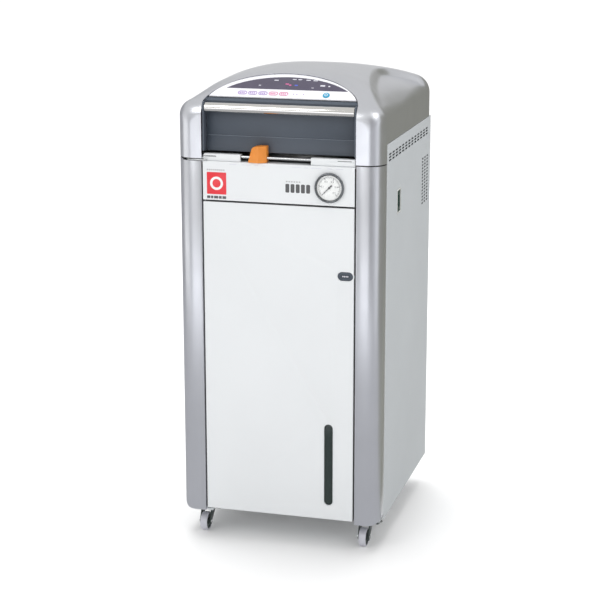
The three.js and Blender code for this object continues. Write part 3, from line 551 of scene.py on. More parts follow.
def column_outline():
    """The folded sheet's plan: round outside corner, a return beside the door."""
    inner = DOOR_HALF + 1.5
    centre = (HALF - CORNER_R, FACE + CORNER_R)
    out = [(inner, FRONT + 22), (inner, FRONT + 1.2), (inner + 0.5, FRONT - 0.4), (inner + 2, FACE)]
    out += arc(centre, CORNER_R, -1, 0, 24)
    out += [(HALF, COLUMN_BACK - 1.5), (HALF - 0.5, COLUMN_BACK), (HALF - SHEET, COLUMN_BACK)]
    out += arc(centre, CORNER_R - SHEET, 0, -1, 12)
    return out + [(inner + SHEET, FACE + SHEET), (inner + SHEET, FRONT + 22)]


def lower_corner(r):
    """What is taken off a column's outer lower corner."""
    out = [(HALF + 2, BODY_BOTTOM - 2), (HALF + 2, BODY_BOTTOM + r)]
    out += arc((HALF - r, BODY_BOTTOM + r), r, 0, -1, 12)
    return out + [(HALF - r, BODY_BOTTOM - 2)]


for side, sign in SIDES:
    column = prism(f"{side}_column_skin", column_outline(), BODY_BOTTOM, COLUMN_TOP - 1.6, "z", 0)
    carve(column, prism("corner", lower_corner(LOWER_CORNER_R), FRONT - 9, COLUMN_BACK + 9, "y", 0))
    if sign < 0:
        column = mirrored("left_column_skin", column)
        carve(column, block("notch", *NOTCH, 0))
    place(soften(column, 0.7, 2, 0.9), "cabinet", "silver", f"{side}_column")

# Each column's top holds a black band just inside its outline, seen through the seam under the hood: painted
# shade in the seam.
for side, sign in SIDES:
    dark_band = prism(f"{side}_column_gap_shade", column_outline(), COLUMN_TOP - 3, COLUMN_TOP - 0.3, "z", 0.2, 1)
    middle = Matrix.Translation(Vector((HALF - CORNER_R, FACE + CORNER_R, 0)) * MM)
    shrink = Matrix.Diagonal((GAP_SHADE_SHRINK, GAP_SHADE_SHRINK, 1, 1))
    dark_band.data.transform(middle @ shrink @ middle.inverted())
    if sign < 0:
        dark_band = mirrored("left_column_gap_shade", dark_band)
        carve(dark_band, block("notch", *NOTCH, 0))
    place(dark_band, "cabinet", "gasket_rubber")

# Places of the slots in each side panel, as (y, z): three rows along the top, three stacks at the rear.
TOP_VENTS = [(FRONT + 66 + 31 * i, z) for z in (846, 839.8, 833.6) for i in range(13)]
REAR_VENTS = [(FRONT + y, 682 + 7.2 * i) for y in (398, 423, 448) for i in range(15)]
window_low, window_high = node_box("breaker_bezel")


def slot_cutters(places, length, height, at, axis):
    """Pill-shaped slots, lying level, through a sheet that faces along an axis at a given place."""
    reach = 8 if axis == "x" else 9
    slots = [prism("slot", pill(a, z, length, height, 4), at - reach, at + reach, axis, 0) for a, z in places]
    return gathered("slots", *slots)


def screw(centre, axis, radius=3.6, out=1):
    """A low domed screw head with a cross recess."""
    dome = [(0, 0.1), (0.95, 0.1), (1, 0.35), (0.8, 0.9), (0.4, 1.2), (0, 1.3)]
    head = lathe("screw", [(radius * r, h * out) for r, h in dome], (0, 0, 0), axis, 20)
    lean = Matrix.Rotation(math.pi / 2, 4, "Y" if axis == "x" else "X")
    shift = [0, 0, 0]
    shift["xyz".index(axis)] = dome[-1][1] * out
    for turn in (0, math.pi / 2):
        bar = block("bar", (-0.45, -radius * 0.55, -0.7), (0.45, radius * 0.55, 0.7), 0)
        carve(head, placed(bar, lean @ Matrix.Rotation(turn, 4, "Z"), shift))
    return placed(head, Matrix.Identity(4), centre)


for side, sign in SIDES:
    sheet = block("sheet", (HALF - 1.1, COLUMN_BACK + SEAM, SIDE_Z0), (HALF, REAR, SIDE_TOP), 0.5, 3)
    carve(sheet, slot_cutters(TOP_VENTS, 22, 4.1, HALF, "x"), slot_cutters(REAR_VENTS, 16, 4.3, HALF, "x"))
    if sign > 0:
        carve(sheet, block("window", (HALF - 5, window_low[1] - SEAM, window_low[2] - SEAM),
                           (HALF + 2, window_high[1] + SEAM, window_high[2] + SEAM), 0))
    else:
        sheet = mirrored("left_side_sheet", sheet)
    sheet.name = f"{side}_side_skin"
    place(sheet, "cabinet", "side_grey", f"{side}_side_panel")
    heads = [screw((sign * (HALF - 1.4), FRONT + y, SCREW_Z), "x", out=sign) for y in (91, 251, 449)]
    place(gathered(f"{side}_panel_screws", *heads), "cabinet", "bright_steel")
    # A dark sheet behind the vents keeps daylight out of the slots and shows through them: painted shade
    # inside the slots.
    strip = block("strip", (HALF - 7, COLUMN_BACK + 6, SIDE_TOP - 46), (HALF - 6, REAR - 8, SIDE_TOP - 12),
                  0.3, 2)
    tail = block("tail", (HALF - 7, REAR - 92, 620), (HALF - 6, REAR - 8, SIDE_TOP - 47), 0.3, 2)
    slot_shade = gathered(f"{side}_vent_shade_sheet", strip, tail)
    if sign < 0:
        slot_shade = mirrored("left_vent_shade_sheet", slot_shade)
    place(slot_shade, "cabinet", "dark_plastic")

REAR_SLOTS = [(x, 620 + 12 * row) for row in range(10) for x in (-120, -72, 72, 120)]
inlet_low, inlet_high = node_box("power_inlet")
rear = block("rear_skin", *node_box("rear_panel"), 0.7, 3)
carve(rear, slot_cutters(REAR_SLOTS, 34, 4.4, REAR, "y"),
      block("inlet", (inlet_low[0] - SEAM, REAR - 9, inlet_low[2] - SEAM),
            (inlet_high[0] + SEAM, REAR + 9, inlet_high[2] + SEAM), 0))
place(rear, "cabinet", "side_grey", "rear_panel")
# A dark sheet behind the rear slots shows through them: painted shade inside the slots.
place(block("rear_shade_sheet", (-150, REAR - 9, 606), (150, REAR - 8, 742), 0.3), "cabinet", "dark_plastic")
REAR_SCREWS = [(x, z) for x in (-200, 0, 200) for z in (SCREW_Z + 2, 455)] + [(-200, 855), (200, 855)]
rear_heads = [screw((x, REAR - 0.6, z), "y") for x, z in REAR_SCREWS]
place(gathered("rear_panel_screws", *rear_heads), "cabinet", "bright_steel")

inlet = block("inlet_housing", inlet_low, inlet_high, 1.2, 3)
carve(inlet, block("well", (inlet_low[0] + 4, REAR - 13, inlet_low[2] + 4),
                   (inlet_high[0] - 4, REAR + 4, inlet_high[2] - 4), 2.5, 3))
pins = [block("pin", (x - 1, REAR - 14, z - 2.5), (x + 1, REAR - 3, z + 2.5), 0.4)
        for x, z in ((128, 109), (135, 114), (142, 109))]
place(gathered("inlet_socket", inlet, *pins), "cabinet", "dark_plastic", "power_inlet")

# ---------------------------------------------------------------- fascia with badge and captions
gauge_low, gauge_high = node_box("gauge_bezel")
GAUGE_X, _, GAUGE_Z = middle_of(gauge_low, gauge_high)
GAUGE_R = (gauge_high[0] - gauge_low[0]) / 2
DIAL_R = 26
FASCIA_Z0, FASCIA_Z1 = fascia_low[2], fascia_high[2]
fascia_face = block("fascia_skin", (1.0 - DOOR_HALF, FRONT, FASCIA_Z0 + 0.6),
                    (DOOR_HALF - 1.4, FRONT + 3, FASCIA_Z1), 1.0, 3)
fascia_return = block("fascia_return", (0.5 - DOOR_HALF, FRONT, FASCIA_Z1 - 3),
                      (DOOR_HALF - 0.5, FRONT + 24, FASCIA_Z1), 1.0, 3)
carve(fascia_face, fascia_return, operation="UNION")
carve(fascia_face, lathe("hole", band(0, DIAL_R, -20, 20), (GAUGE_X, FRONT, GAUGE_Z), "y", 64))
place(fascia_face, "cabinet", "white_panel", "fascia")


def gap_shade_frame(name, z0, z1, body):
    """A black frame that fills the gap round a front panel, a little behind its face: painted shade in the
    gap.
    """
    dark_band = prism(name, round_rect(0.2 - DOOR_HALF, z0, DOOR_HALF - 0.1, z1, 1), FRONT + 1.1, FRONT + 4, "y",
                 0.1, 1)
    inside = round_rect(3 - DOOR_HALF, z0 + 2.6, DOOR_HALF - 3.2, z1 - 2.6, 1)
    carve(dark_band, prism("inside", inside, FRONT - 5, FRONT + 9, "y", 0))
    place(dark_band, body, "gasket_rubber")


gap_shade_frame("fascia_gap_shade", FASCIA_Z0 + 0.1, FASCIA_Z1 - 3.5, "cabinet")
gap_shade_frame("door_gap_shade", DOOR_Z0 + 0.9, DOOR_Z1 - 0.1, "door")


def printed_row(name, starts, widths, z0, z1, colour, r=0.8):
    """A row of flat printed bars standing a hair proud of the fascia."""
    bars = [prism("bar", round_rect(x, z0, x + w, z1, r, 4), FRONT - 0.18, FRONT + 0.2, "y", 0.05, 1)
            for x, w in zip(starts, widths)]
    place(gathered(name, *bars), "cabinet", "white_panel", paint=PRINT[colour])


BADGE_X0, BADGE_X1, BADGE_Z0, BADGE_Z1 = -153, -111, 757, 803
badge = prism("badge_plate", round_rect(BADGE_X0, BADGE_Z0, BADGE_X1, BADGE_Z1, 1), FRONT - 0.4, FRONT + 0.2,
              "y", 0.15)
place(badge, "cabinet", "white_panel", paint=PRINT["red"])
badge_middle = ((BADGE_X0 + BADGE_X1) / 2, FRONT, (BADGE_Z0 + BADGE_Z1) / 2)
badge_ring = lathe("badge_ring", band(9, 14, -0.6, 0.2), badge_middle, "y", 48, closed=True)
place(badge_ring, "cabinet", "white_panel", paint=PRINT["white"])
CAPTION = (7, 5, 9, 6, 8)
CAPTION_GAP = 1.6
caption_starts = [BADGE_X0 + sum(CAPTION[:i]) + CAPTION_GAP * i for i in range(len(CAPTION))]
printed_row("badge_caption_low", caption_starts, CAPTION, 748, 753.5, "grey")
printed_row("badge_caption_high", [BADGE_X0 + 4.4 * i for i in range(9)], [3] * 9, 806.5, 809.5, "pale_grey")
printed_row("model_caption", [16 + 11 * i for i in range(5)], [8.2] * 5, 768, 786, "grey", 2.2)
printed_row("model_subcaption", [17 + 5.4 * i for i in range(6)], [3.6] * 6, 789.5, 792, "pale_grey")
DASHES = ((-104, 16), (-78, 20), (-50, 8), (-34, 8), (30, 18), (56, 8), (70, 22), (104, 10), (122, 16))
dashes = [prism("dash", pill(x + width / 2, 821 - 0.2 * (i % 2), width, 1.4, 3), FRONT - 0.15, FRONT + 0.2,
                "y", 0)
          for i, (x, width) in enumerate(DASHES)]
place(gathered("fascia_edge_marks", *dashes), "cabinet", "white_panel", paint=PRINT["light"])

# ---------------------------------------------------------------- pressure gauge
GAUGE_AXIS = (GAUGE_X, 0, GAUGE_Z)
RIM_FRONT = gauge_low[1]
rim_profile = [(GAUGE_R - 4.6, FRONT - 0.4), (GAUGE_R, FRONT - 0.4), (GAUGE_R, FRONT - 4),
               (GAUGE_R - 1.4, RIM_FRONT),
               (GAUGE_R - 3.2, RIM_FRONT), (GAUGE_R - 4.6, RIM_FRONT + 2.2)]
rim = lathe("gauge_rim", rim_profile, GAUGE_AXIS, "y", 96, closed=True, soft=0.8, soft_steps=4)
place(rim, "cabinet", "chrome_trim", "gauge_bezel",
      paint=surface("dark_chrome", (0.20, 0.21, 0.22), 0.2, 1.0, mottle=0.05, mottle_size=60, bump=0.03))
lens = [(0, FRONT - 6.2), (DIAL_R - 1, FRONT - 5.8), (DIAL_R, FRONT - 5.4), (DIAL_R, FRONT - 5),
        (0, FRONT - 5)]
place(lathe("gauge_lens", lens, GAUGE_AXIS, "y", 64, soft=0.2), "cabinet", "clear_glass", "gauge_glass")
DIAL_Y = node_box("gauge_dial")[0][1]
dial = [(0, DIAL_Y), (DIAL_R - 0.4, DIAL_Y), (DIAL_R, DIAL_Y + 0.3), (DIAL_R, DIAL_Y + 1.2),
        (0, DIAL_Y + 1.2)]
place(lathe("gauge_face", dial, GAUGE_AXIS, "y", 64, soft=0.2), "cabinet", "dial_white", "gauge_dial")
# The dial's scale: where it starts and how far it sweeps, its outer radius, and its division into steps.
SWEEP_START, SWEEP = math.radians(225), math.radians(270)
SCALE_R = 22.6
FINE_STEPS, FIGURES = 50, 5
marks = []
for i in range(FINE_STEPS + 1):
    major = i % 10 == 0
    length = 4.6 if major else (3.2 if i % 5 == 0 else 1.9)
    width = 0.6 if major else 0.32
    turn = SWEEP_START - SWEEP * i / FINE_STEPS
    tick = block("tick", (SCALE_R - length, DIAL_Y - 0.12, -width), (SCALE_R, DIAL_Y + 0.1, width), 0)
    marks.append(placed(tick, Matrix.Rotation(-turn, 4, "Y"), GAUGE_AXIS))
scale_line = [(x, DIAL_Y, z) for x, z in arc((GAUGE_X, GAUGE_Z), SCALE_R + 0.3, 2.5, -0.5, 60)]
marks.append(tube("arc", scale_line, 0.14, 6))


def figure(text, x, z, size, y):
    """A numeral facing the front, as a thin solid."""
    curve = bpy.data.curves.new("figure", "FONT")
    curve.body = text
    curve.size = size * MM
    curve.extrude = 0.06 * MM
    curve.align_x = "CENTER"
    curve.align_y = "CENTER"
    made = link("figure", curve)
    graph = bpy.context.evaluated_depsgraph_get()
    mesh = bpy.data.meshes.new_from_object(made.evaluated_get(graph))
    bpy.data.objects.remove(made)
    return placed(link("figure", mesh), Matrix.Rotation(math.pi / 2, 4, "X"), (x, y, z))


for i in range(FIGURES + 1):
    turn = SWEEP_START - SWEEP * i / FIGURES
    x, z = GAUGE_X + 14.6 * math.cos(turn), GAUGE_Z + 14.2 * math.sin(turn)
    marks.append(figure(f"0.{i}" if i else "0", x, z, 5.2, DIAL_Y - 0.06))
place(gathered("gauge_scale", *marks), "cabinet", "dial_white", paint=PRINT["grey"])

NEEDLE_Y = middle_of(*node_box("gauge_needle"))[1]
blade_outline = [(-8, -1.6), (0, -1.2), (19, -0.4), (19.6, 0), (19, 0.4), (0, 1.2), (-8, 1.6)]
blade = prism("needle_blade", blade_outline, NEEDLE_Y - 0.22, NEEDLE_Y + 0.22, "y", 0.06, 1)
placed(blade, Matrix.Rotation(math.radians(135), 4, "Y"), GAUGE_AXIS)
hub = [(0, NEEDLE_Y - 0.5), (2.2, NEEDLE_Y - 0.5), (2.6, NEEDLE_Y + 0.5), (0, NEEDLE_Y + 0.5)]
hub = lathe("needle_hub", hub, GAUGE_AXIS, "y", 32, soft=0.3)
place(gathered("needle_pointer", blade, hub), "gauge_needle", "dark_plastic", "gauge_needle")

# ---------------------------------------------------------------- front door, window and latch
DOOR_BACK = door_high[1]


def pill_prism(name, at, size, start, end, steps=8, radius=0, segments=2):
    """A pill-shaped plate or cutter facing the front, between two places along Y."""
    return prism(name, pill(*at, *size, steps), start, end, "y", radius, segments)


def grown(size, amount):
    return [side + amount for side in size]


def face_of(low, high):
    """A box's middle and its size as seen from the front, both as x and z."""
    middle = middle_of(low, high)
    return (middle[0], middle[2]), (high[0] - low[0], high[2] - low[2])


PANE, pane_size = face_of(*node_box("door_window"))
pane_size = grown(pane_size, 2 * SEAM)
latch_low, latch_high = node_box("latch_button")
LATCH, latch_size = face_of(latch_low, latch_high)
latch_size = grown(latch_size, 1)
pin_x, pin_y, _ = middle_of(*node_box("door_hinge_pin"))
door = block("door_skin", (1.2 - DOOR_HALF, FRONT, DOOR_Z0),
             (DOOR_HALF - 1.6, DOOR_BACK, DOOR_Z1 - 0.9), 1.6, 4)
carve(door, block("pocket", (2 - DOOR_HALF, FRONT + 2, DOOR_Z0 + 2),
                  (DOOR_HALF - 2, DOOR_BACK + 5, DOOR_Z1 - 2), 1.5))
carve(door, pill_prism("pad", PANE, grown(pane_size, 11), FRONT + 1, FRONT + 6),
      pill_prism("pad", LATCH, grown(latch_size, 5), FRONT + 1, FRONT + 10), operation="UNION")
carve(door, pill_prism("window", PANE, pane_size, FRONT - 5, FRONT + 9, 12),
      pill_prism("latch", LATCH, latch_size, FRONT - 5, FRONT + 15, 10),
      lathe("pin", band(0, 2.3, -9, 800), (pin_x, pin_y, 0), "z", 24))
place(soften(door, 0.5, 2, 0.9), "door", "white_panel", "front_door")
rim_line = [(x, FRONT - 0.15, z) for x, z in pill(*PANE, *grown(pane_size, 1.6), 10)]
place(tube("window_rim", rim_line, 0.85, 10, closed=True), "door", "white_panel")
pane = pill_prism("window_pane", PANE, grown(pane_size, -0.8), FRONT + 1.2, FRONT + 4, 12, 0.4)
place(pane, "door", "dark_glass", "door_window")
latch = pill_prism("latch_plate", LATCH, grown(latch_size, -1), FRONT - 0.2, FRONT + 4, 10, 0.9, 3)
carve(latch, pill_prism("dish", LATCH, grown(latch_size, -10), FRONT - 0.5, FRONT + 0.5, 8, 0.3))
stem = [(0, FRONT + 4.1), (5, FRONT + 4.1), (5, latch_high[1] - 0.5), (4.4, latch_high[1]),
        (0, latch_high[1])]
stem = lathe("latch_stem", stem, (LATCH[0], 0, LATCH[1]), "y", 32)
place(gathered("latch_push", latch, stem), "door_latch", "slate", "latch_button")
bars = [pill_prism("bar", (LATCH[0] - 5 + 3.4 * i, LATCH[1]), (2.2, 3), FRONT - 0.1, FRONT + 0.6, 4)
        for i in range(4)]
place(gathered("latch_mark", *bars), "door_latch", "slate", paint=PRINT["light"])

# ---------------------------------------------------------------- breaker in the right side
_, WELL_Y, WELL_Z = middle_of(window_low, window_high)


def window_block(name, x0, x1, margin, radius, segments=3):
    """A block that fills the breaker's window but for a margin."""
    return block(name, (x0, window_low[1] + margin, window_low[2] + margin),
                 (x1, window_high[1] - margin, window_high[2] - margin), radius, segments)


rim_plate = block("breaker_rim", window_low, window_high, 0.9, 3)
carve(rim_plate, window_block("opening", HALF - 9, HALF + 3, 3, 0.5))
place(rim_plate, "cabinet", "white_plastic", "breaker_bezel")
case = block("breaker_case", *node_box("breaker_body"), 1.2, 3)
carve(case, window_block("face", HALF - 8, HALF - 0.9, 3.3, 0.8, 2), operation="UNION")
carve(case, block("well", (HALF - 20, WELL_Y - 6, WELL_Z - 13), (HALF + 2, WELL_Y + 6, WELL_Z + 13), 0.8))
place(case, "cabinet", "dark_plastic", "breaker_body",
      paint=surface("green_black_plastic", (0.035, 0.07, 0.058), 0.35, mottle=0.1, mottle_size=60, bump=0.2))
toggle_x = node_box("breaker_toggle")[0][0] + 5
toggle_hub = lathe("toggle_hub", band(0, 5, -5, 5), (toggle_x, WELL_Y, WELL_Z), "y", 32, soft=0.5)
stick = block("toggle_stick", (0, -4, -2.5), (12, 4, 2.5), 1.0, 3)
placed(stick, Matrix.Rotation(0.45, 4, "Y"), (toggle_x, WELL_Y, WELL_Z))
place(gathered("toggle_lever", toggle_hub, stick), "breaker_toggle", "white_plastic", "breaker_toggle")

# ---------------------------------------------------------------- hood lock
left_low, left_high = node_box("left_guide_plate")
right_low, right_high = node_box("right_guide_plate")
rod_low, rod_high = node_box("lock_rod")
knob_low, knob_high = node_box("lock_knob")
ROD_AXIS = (0, (rod_low[1] + rod_high[1]) / 2, rod_high[2] - 3)
_, ROD_Y, ROD_Z = ROD_AXIS


def guide(name, low, high):
    """A guide plate: an upright leaf with its top leaf folded back."""
    plate = block(name, low, (high[0], low[1] + 2, high[2]), 0.5, 2)
    return carve(plate, block("top", (low[0], low[1], high[2] - 2), high, 0.5, 2), operation="UNION")


fork = prism("fork", pill(left_low[0] + 5, ROD_Z, 44, 2.6, 4), left_low[1] - 3, left_low[1] + 4, "y", 0)
place(carve(guide("left_guide", left_low, left_high), fork), "cabinet", "white_panel", "left_guide_plate")
place(guide("right_guide", right_low, right_high), "cabinet", "white_panel", "right_guide_plate")
strap = block("strap", (right_low[0] + 36, right_low[1] - 0.9, right_low[2] + 1.2),
              (right_high[0] - 1, right_low[1] - 0.05, right_low[2] + 9), 0.35, 2)
rivet_profile = [(0, -1.5), (1.2, -1.5), (1.7, -0.9), (0, -0.9)]
rivets = [lathe("rivet", rivet_profile, (x, right_low[1], right_low[2] + 5), "y", 20, soft=0.3)
          for x in (right_low[0] + 44, right_high[0] - 10)]
place(gathered("right_guide_strap", strap, *rivets), "cabinet", "bright_steel",
      paint=MATERIALS["white_panel"])
# A thin dark strip on the plate's face stands for the slit: painted shade in the slit.
slit = pill(right_high[0] - 22, right_high[2] - 4, 30, 1.2, 4)
place(prism("right_guide_slit", slit, right_low[1] - 0.1, right_low[1] + 0.4, "y", 0), "cabinet",
      "dark_plastic")
rod_bar = lathe("rod", band(0, 3, -156, 144), ROD_AXIS, "x", 32, soft=0.6)
tongue = block("tongue", (rod_low[0] + 12, ROD_Y - 2.4, rod_low[2]), (-150, ROD_Y + 2.4, ROD_Z + 2.4), 0.9, 3)
tip = [(-196, FRONT + 1), (-188, FRONT - 2.6), (-152, FRONT - 2.6), (-152, FRONT + 8), (-190, FRONT + 8)]
tip = prism("tip", tip, COLUMN_TOP - 3.6, COLUMN_TOP - 0.8, "z", 0.5, 2)
place(gathered("lock_bar", rod_bar, tongue, tip), "hood_lock", "bright_steel", "lock_rod")

KNOB_X0, KNOB_X1, KNOB_Z0, KNOB_Z1 = knob_low[0], knob_high[0], knob_low[2], knob_high[2]
RIDGE_X = KNOB_X0 + 23
front_view = [(KNOB_X0, KNOB_Z0), (KNOB_X1, KNOB_Z0), (KNOB_X1, KNOB_Z1), (RIDGE_X, KNOB_Z1),
              (KNOB_X0 + 11, KNOB_Z1 - 2), (KNOB_X0 + 8, KNOB_Z1 - 6), (KNOB_X0 + 3, KNOB_Z0 + 12),
              (KNOB_X0, KNOB_Z0 + 3)]
plan_view = [(KNOB_X0 - 7, FRONT - 1), (RIDGE_X, knob_low[1]), (KNOB_X1 + 5, FRONT + 8),
             (KNOB_X1 + 5, FRONT + 40), (KNOB_X0 - 7, FRONT + 40)]
knob = prism("knob", front_view, knob_low[1], knob_high[1], "y", 0)
carve(knob, prism("plan", plan_view, KNOB_Z0 - 5, KNOB_Z1 + 5, "z", 0), operation="INTERSECT")
soften(knob, 1.6, 4, 0.5)
carve(knob, lathe("bore", band(0, 3.3, -80, 80), (-44, ROD_Y, ROD_Z), "x", 32))
place(knob, "hood_lock", "orange_plastic", "lock_knob", angle=0.9)

# ---------------------------------------------------------------- hood
# Heights of the roof's middle line and of its two shoulders, from front to rear.
roof_middle = curve_through([
    (FACE, 948), (FRONT + 20, 964), (FRONT + 45, 982), (FRONT + 90, 1002), (FRONT + 150, HOOD_TOP - 1),
    (FRONT + 260, HOOD_TOP - 3.5), (FRONT + 400, 992), (HOOD_REAR, 980)])
roof_edge = curve_through([
    (FACE, 938), (FRONT + 20, 946), (FRONT + 45, 951), (FRONT + 90, 957), (FRONT + 140, 960),
    (FRONT + 260, 966), (FRONT + 400, 967), (HOOD_REAR, 964)])
FRONT_ROLL, REAR_ROLL = 17, 22
REAR_CORNER = 18
SHOULDER_END, SHOULDER_MIDDLE = 28, 40
ROOF_POWER = 2.7
# Where each hollow of the roof begins, seen from above: distance behind the door's plane, and x.
SCOOP_LINE = [(12, 218), (45, 197), (90, 179), (135, 164), (190, 150), (250, 139), (310, 131), (350, 130),
              (384, 138), (407, 154), (426, 179), (440, 214)]
SCOOP_DEPTH, SCOOP_SOFT = 13, 20


def rolled(distance, radius):
    """How far a surface has dropped at a distance from where its round edge ends."""
    if distance >= radius:
        return 0
    return radius - math.sqrt(max(radius ** 2 - (radius - distance) ** 2, 0))


def smoothstep(t):
    t = min(max(t, 0), 1)
    return t * t * (3 - 2 * t)


scoop_points = np.array([(p[1], FRONT + p[0]) for p in smooth_path([(y, x, 0) for y, x in SCOOP_LINE], 6)])


def scoop_at(x, y):
    """How deep the hollow is at a place on the roof."""
    x = abs(x)
    starts, ends = scoop_points[:-1], scoop_points[1:]
    along = ends - starts
    here = np.array((x, y))
    t = np.clip(((here - starts) * along).sum(1) / (along ** 2).sum(1), 0, 1)
    gap = float(np.hypot(*(starts + along * t[:, None] - here).T).min())
    line_x = np.interp(y, scoop_points[:, 1], scoop_points[:, 0])
    inside = scoop_points[0, 1] < y < scoop_points[-1, 1] and x > line_x
    signed = gap if inside else -gap
    soft = SCOOP_SOFT * (1 - 0.2 * smoothstep((y - FRONT - 240) / 120))
    length = smoothstep((y - FRONT - 20) / 220)
    return SCOOP_DEPTH * (0.2 + 0.8 * length) * smoothstep(signed / soft + 0.3)


def hood_section(y, bottom, inset, points):
    """One cross-section of the hood, from its lower right edge over the roof to its lower left edge."""
    side_count, arc_count, roof_count = points
    half = HALF - rolled(y - FACE, CORNER_R) - rolled(HOOD_REAR - y, REAR_CORNER) - inset
    drop = rolled(y - FACE, FRONT_ROLL) + rolled(HOOD_REAR - y, REAR_ROLL) + inset
    edge, middle = roof_edge(y) - drop, roof_middle(y) - drop
    depth = (y - FACE) / (HOOD_REAR - FACE)
    shoulder = SHOULDER_END + (SHOULDER_MIDDLE - SHOULDER_END) * smoothstep(depth * 4) - inset
    centre = (half - shoulder, edge - shoulder)
    # The shoulder's arc ends where its slope meets the roof's; a few rounds find that angle.
    turn = 1.2
    for _ in range(6):
        end_x, end_z = centre[0] + shoulder * math.cos(turn), centre[1] + shoulder * math.sin(turn)
        turn = math.pi / 2 - math.atan(max(middle - end_z, 0.5) * ROOF_POWER / end_x)
    right = [(half, bottom + (centre[1] - bottom) * k / side_count) for k in range(side_count)]
    right += arc(centre, shoulder, 0, turn / (math.pi / 2), arc_count)
    end_x, end_z = right[-1]
    for k in range(1, roof_count + 1):
        x = end_x * (1 - k / roof_count)
        right.append((x, end_z + (middle - end_z) * (1 - (x / end_x) ** ROOF_POWER)))
    out = []
    for k, (x, z) in enumerate(right):
        share = 1
        if k < side_count + arc_count:
            share = smoothstep((k - side_count * 0.6) / (arc_count + side_count * 0.4))
        out.append((x, z - scoop_at(x, y) * share if share > 0 else z))
    return out + [(-x, z) for x, z in out[-2::-1]]


def hood_stations(count):
    """Places along the hood, closer together at its rounded ends and round the rear of its hollows."""
    ends = [0.05, 0.4, 1, 2, 3.4, 5, 7, 9.5, 12.5, 16, 20, 25, 30, 36]
    first, last, split = FACE + ends[-1], HOOD_REAR - ends[-1], FRONT + 320
    inner = [first + (split - first) * k / count for k in range(1, count)]
    inner += [split + (last - split) * k / count for k in range(count)]
    return [FACE + d for d in ends] + inner + [HOOD_REAR - d for d in ends[::-1]]


def hood_solid(name, bottom, inset, count, points):
    """The hood's outer form, or with an inset the form of the room inside it."""
    bm = bmesh.new()
    rows = []
    middle = (FACE + HOOD_REAR) / 2
    for y in hood_stations(count):
        scaled = middle + (y - middle) * (1 - 2 * inset / (HOOD_REAR - FACE))
        rows.append([bm.verts.new((x, scaled, z)) for x, z in hood_section(y, bottom, inset, points)])
    join_rows(bm, rows)
    for row in (rows[0], rows[-1]):
        bm.faces.new(row)
    return from_bmesh(name, bm)


# The arched pocket for the control panel lies in a plane that leans back from the pillars' tops.
ARCH_TILT = 0.65
ARCH_Y, ARCH_Z = FRONT + 5, 950
ARCH_HEIGHT = 96
PANEL_DEPTH = -13
FILM = PANEL_DEPTH + 3


def on_arch(obj):
    return placed(obj, Matrix.Rotation(ARCH_TILT, 4, "X"), (0, ARCH_Y, ARCH_Z))


def arch_prism(name, half, rise, start):
    """A cutter of the arch's shape, from a depth under its plane to well above it."""
    foot = -30
    outline = [(-half, foot), (half, foot)] + arc((0, 0), half, 0, 2, 56, rise)
    return on_arch(prism(name, outline, start, 60, "z", 0))


density = ((60, (12, 18, 60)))
hood = hood_solid("hood_skin", HOOD_BOTTOM, 0, *density)
cavity = hood_solid("cavity", HOOD_BOTTOM - 20, 4, 20, (5, 7, 16))
carve(cavity, arch_prism("boss", DOOR_HALF + 5, ARCH_HEIGHT + 4, PANEL_DEPTH - 1))
pin_low, pin_high = node_box("hinge_pin")
hinge_low, hinge_high = node_box("hinge_bracket")
HINGE_Y, HINGE_Z = hinge_high[1] - 6, hinge_high[2] - 6
HINGE_AXIS = (0, HINGE_Y, HINGE_Z)
notch_half = pin_high[0] + 4
carve(hood, cavity, arch_prism("arch", DOOR_HALF + 1, ARCH_HEIGHT, PANEL_DEPTH - 4),
      block("front", (-DOOR_HALF - 1, FRONT - 12, HOOD_BOTTOM - 9), (DOOR_HALF + 1, FRONT + 30, ARCH_Z), 0),
      block("sides", (-HALF - 9, COLUMN_BACK, HOOD_BOTTOM - 9), (HALF + 9, REAR + 9, SIDE_TOP + 1), 0),
      block("hinge", (-notch_half, HINGE_Y - 12, HOOD_BOTTOM), (notch_half, REAR + 9, HINGE_Z + 7), 0))
place(hood, "hood", "silver", "hood_shell", angle=0.5)

# ---- control panel, key strip and keys: places are x and the distance up the arch's slope ----
STRIP_LOW, MOON_LOW = 25, 49.5
MOON_X, MOON_HALF, MOON_RISE = 5, 158, 86
KEY_S = 37


def moon_outline(grow):
    """The dark half-moon's outline, from its straight foot over its arc."""
    rise = MOON_RISE + grow
    first = math.asin((MOON_LOW - grow) / rise) / (math.pi / 2)
    return arc((MOON_X, 0), MOON_HALF + grow, first, 2 - first, 48, rise)


def strip_outline():
    """The key strip fills the arch above its own straight foot."""
    half, rise = DOOR_HALF - 0.6, ARCH_HEIGHT - 1
    foot = half * math.sqrt(1 - (STRIP_LOW / rise) ** 2)
    first = math.asin(STRIP_LOW / rise) / (math.pi / 2)
    right = arc((0, 0), half, first, 1, 40, rise)[1:]
    return [(-foot, STRIP_LOW), (foot, STRIP_LOW)] + right + [(-x, s) for x, s in right[::-1] if x > 1e-6]


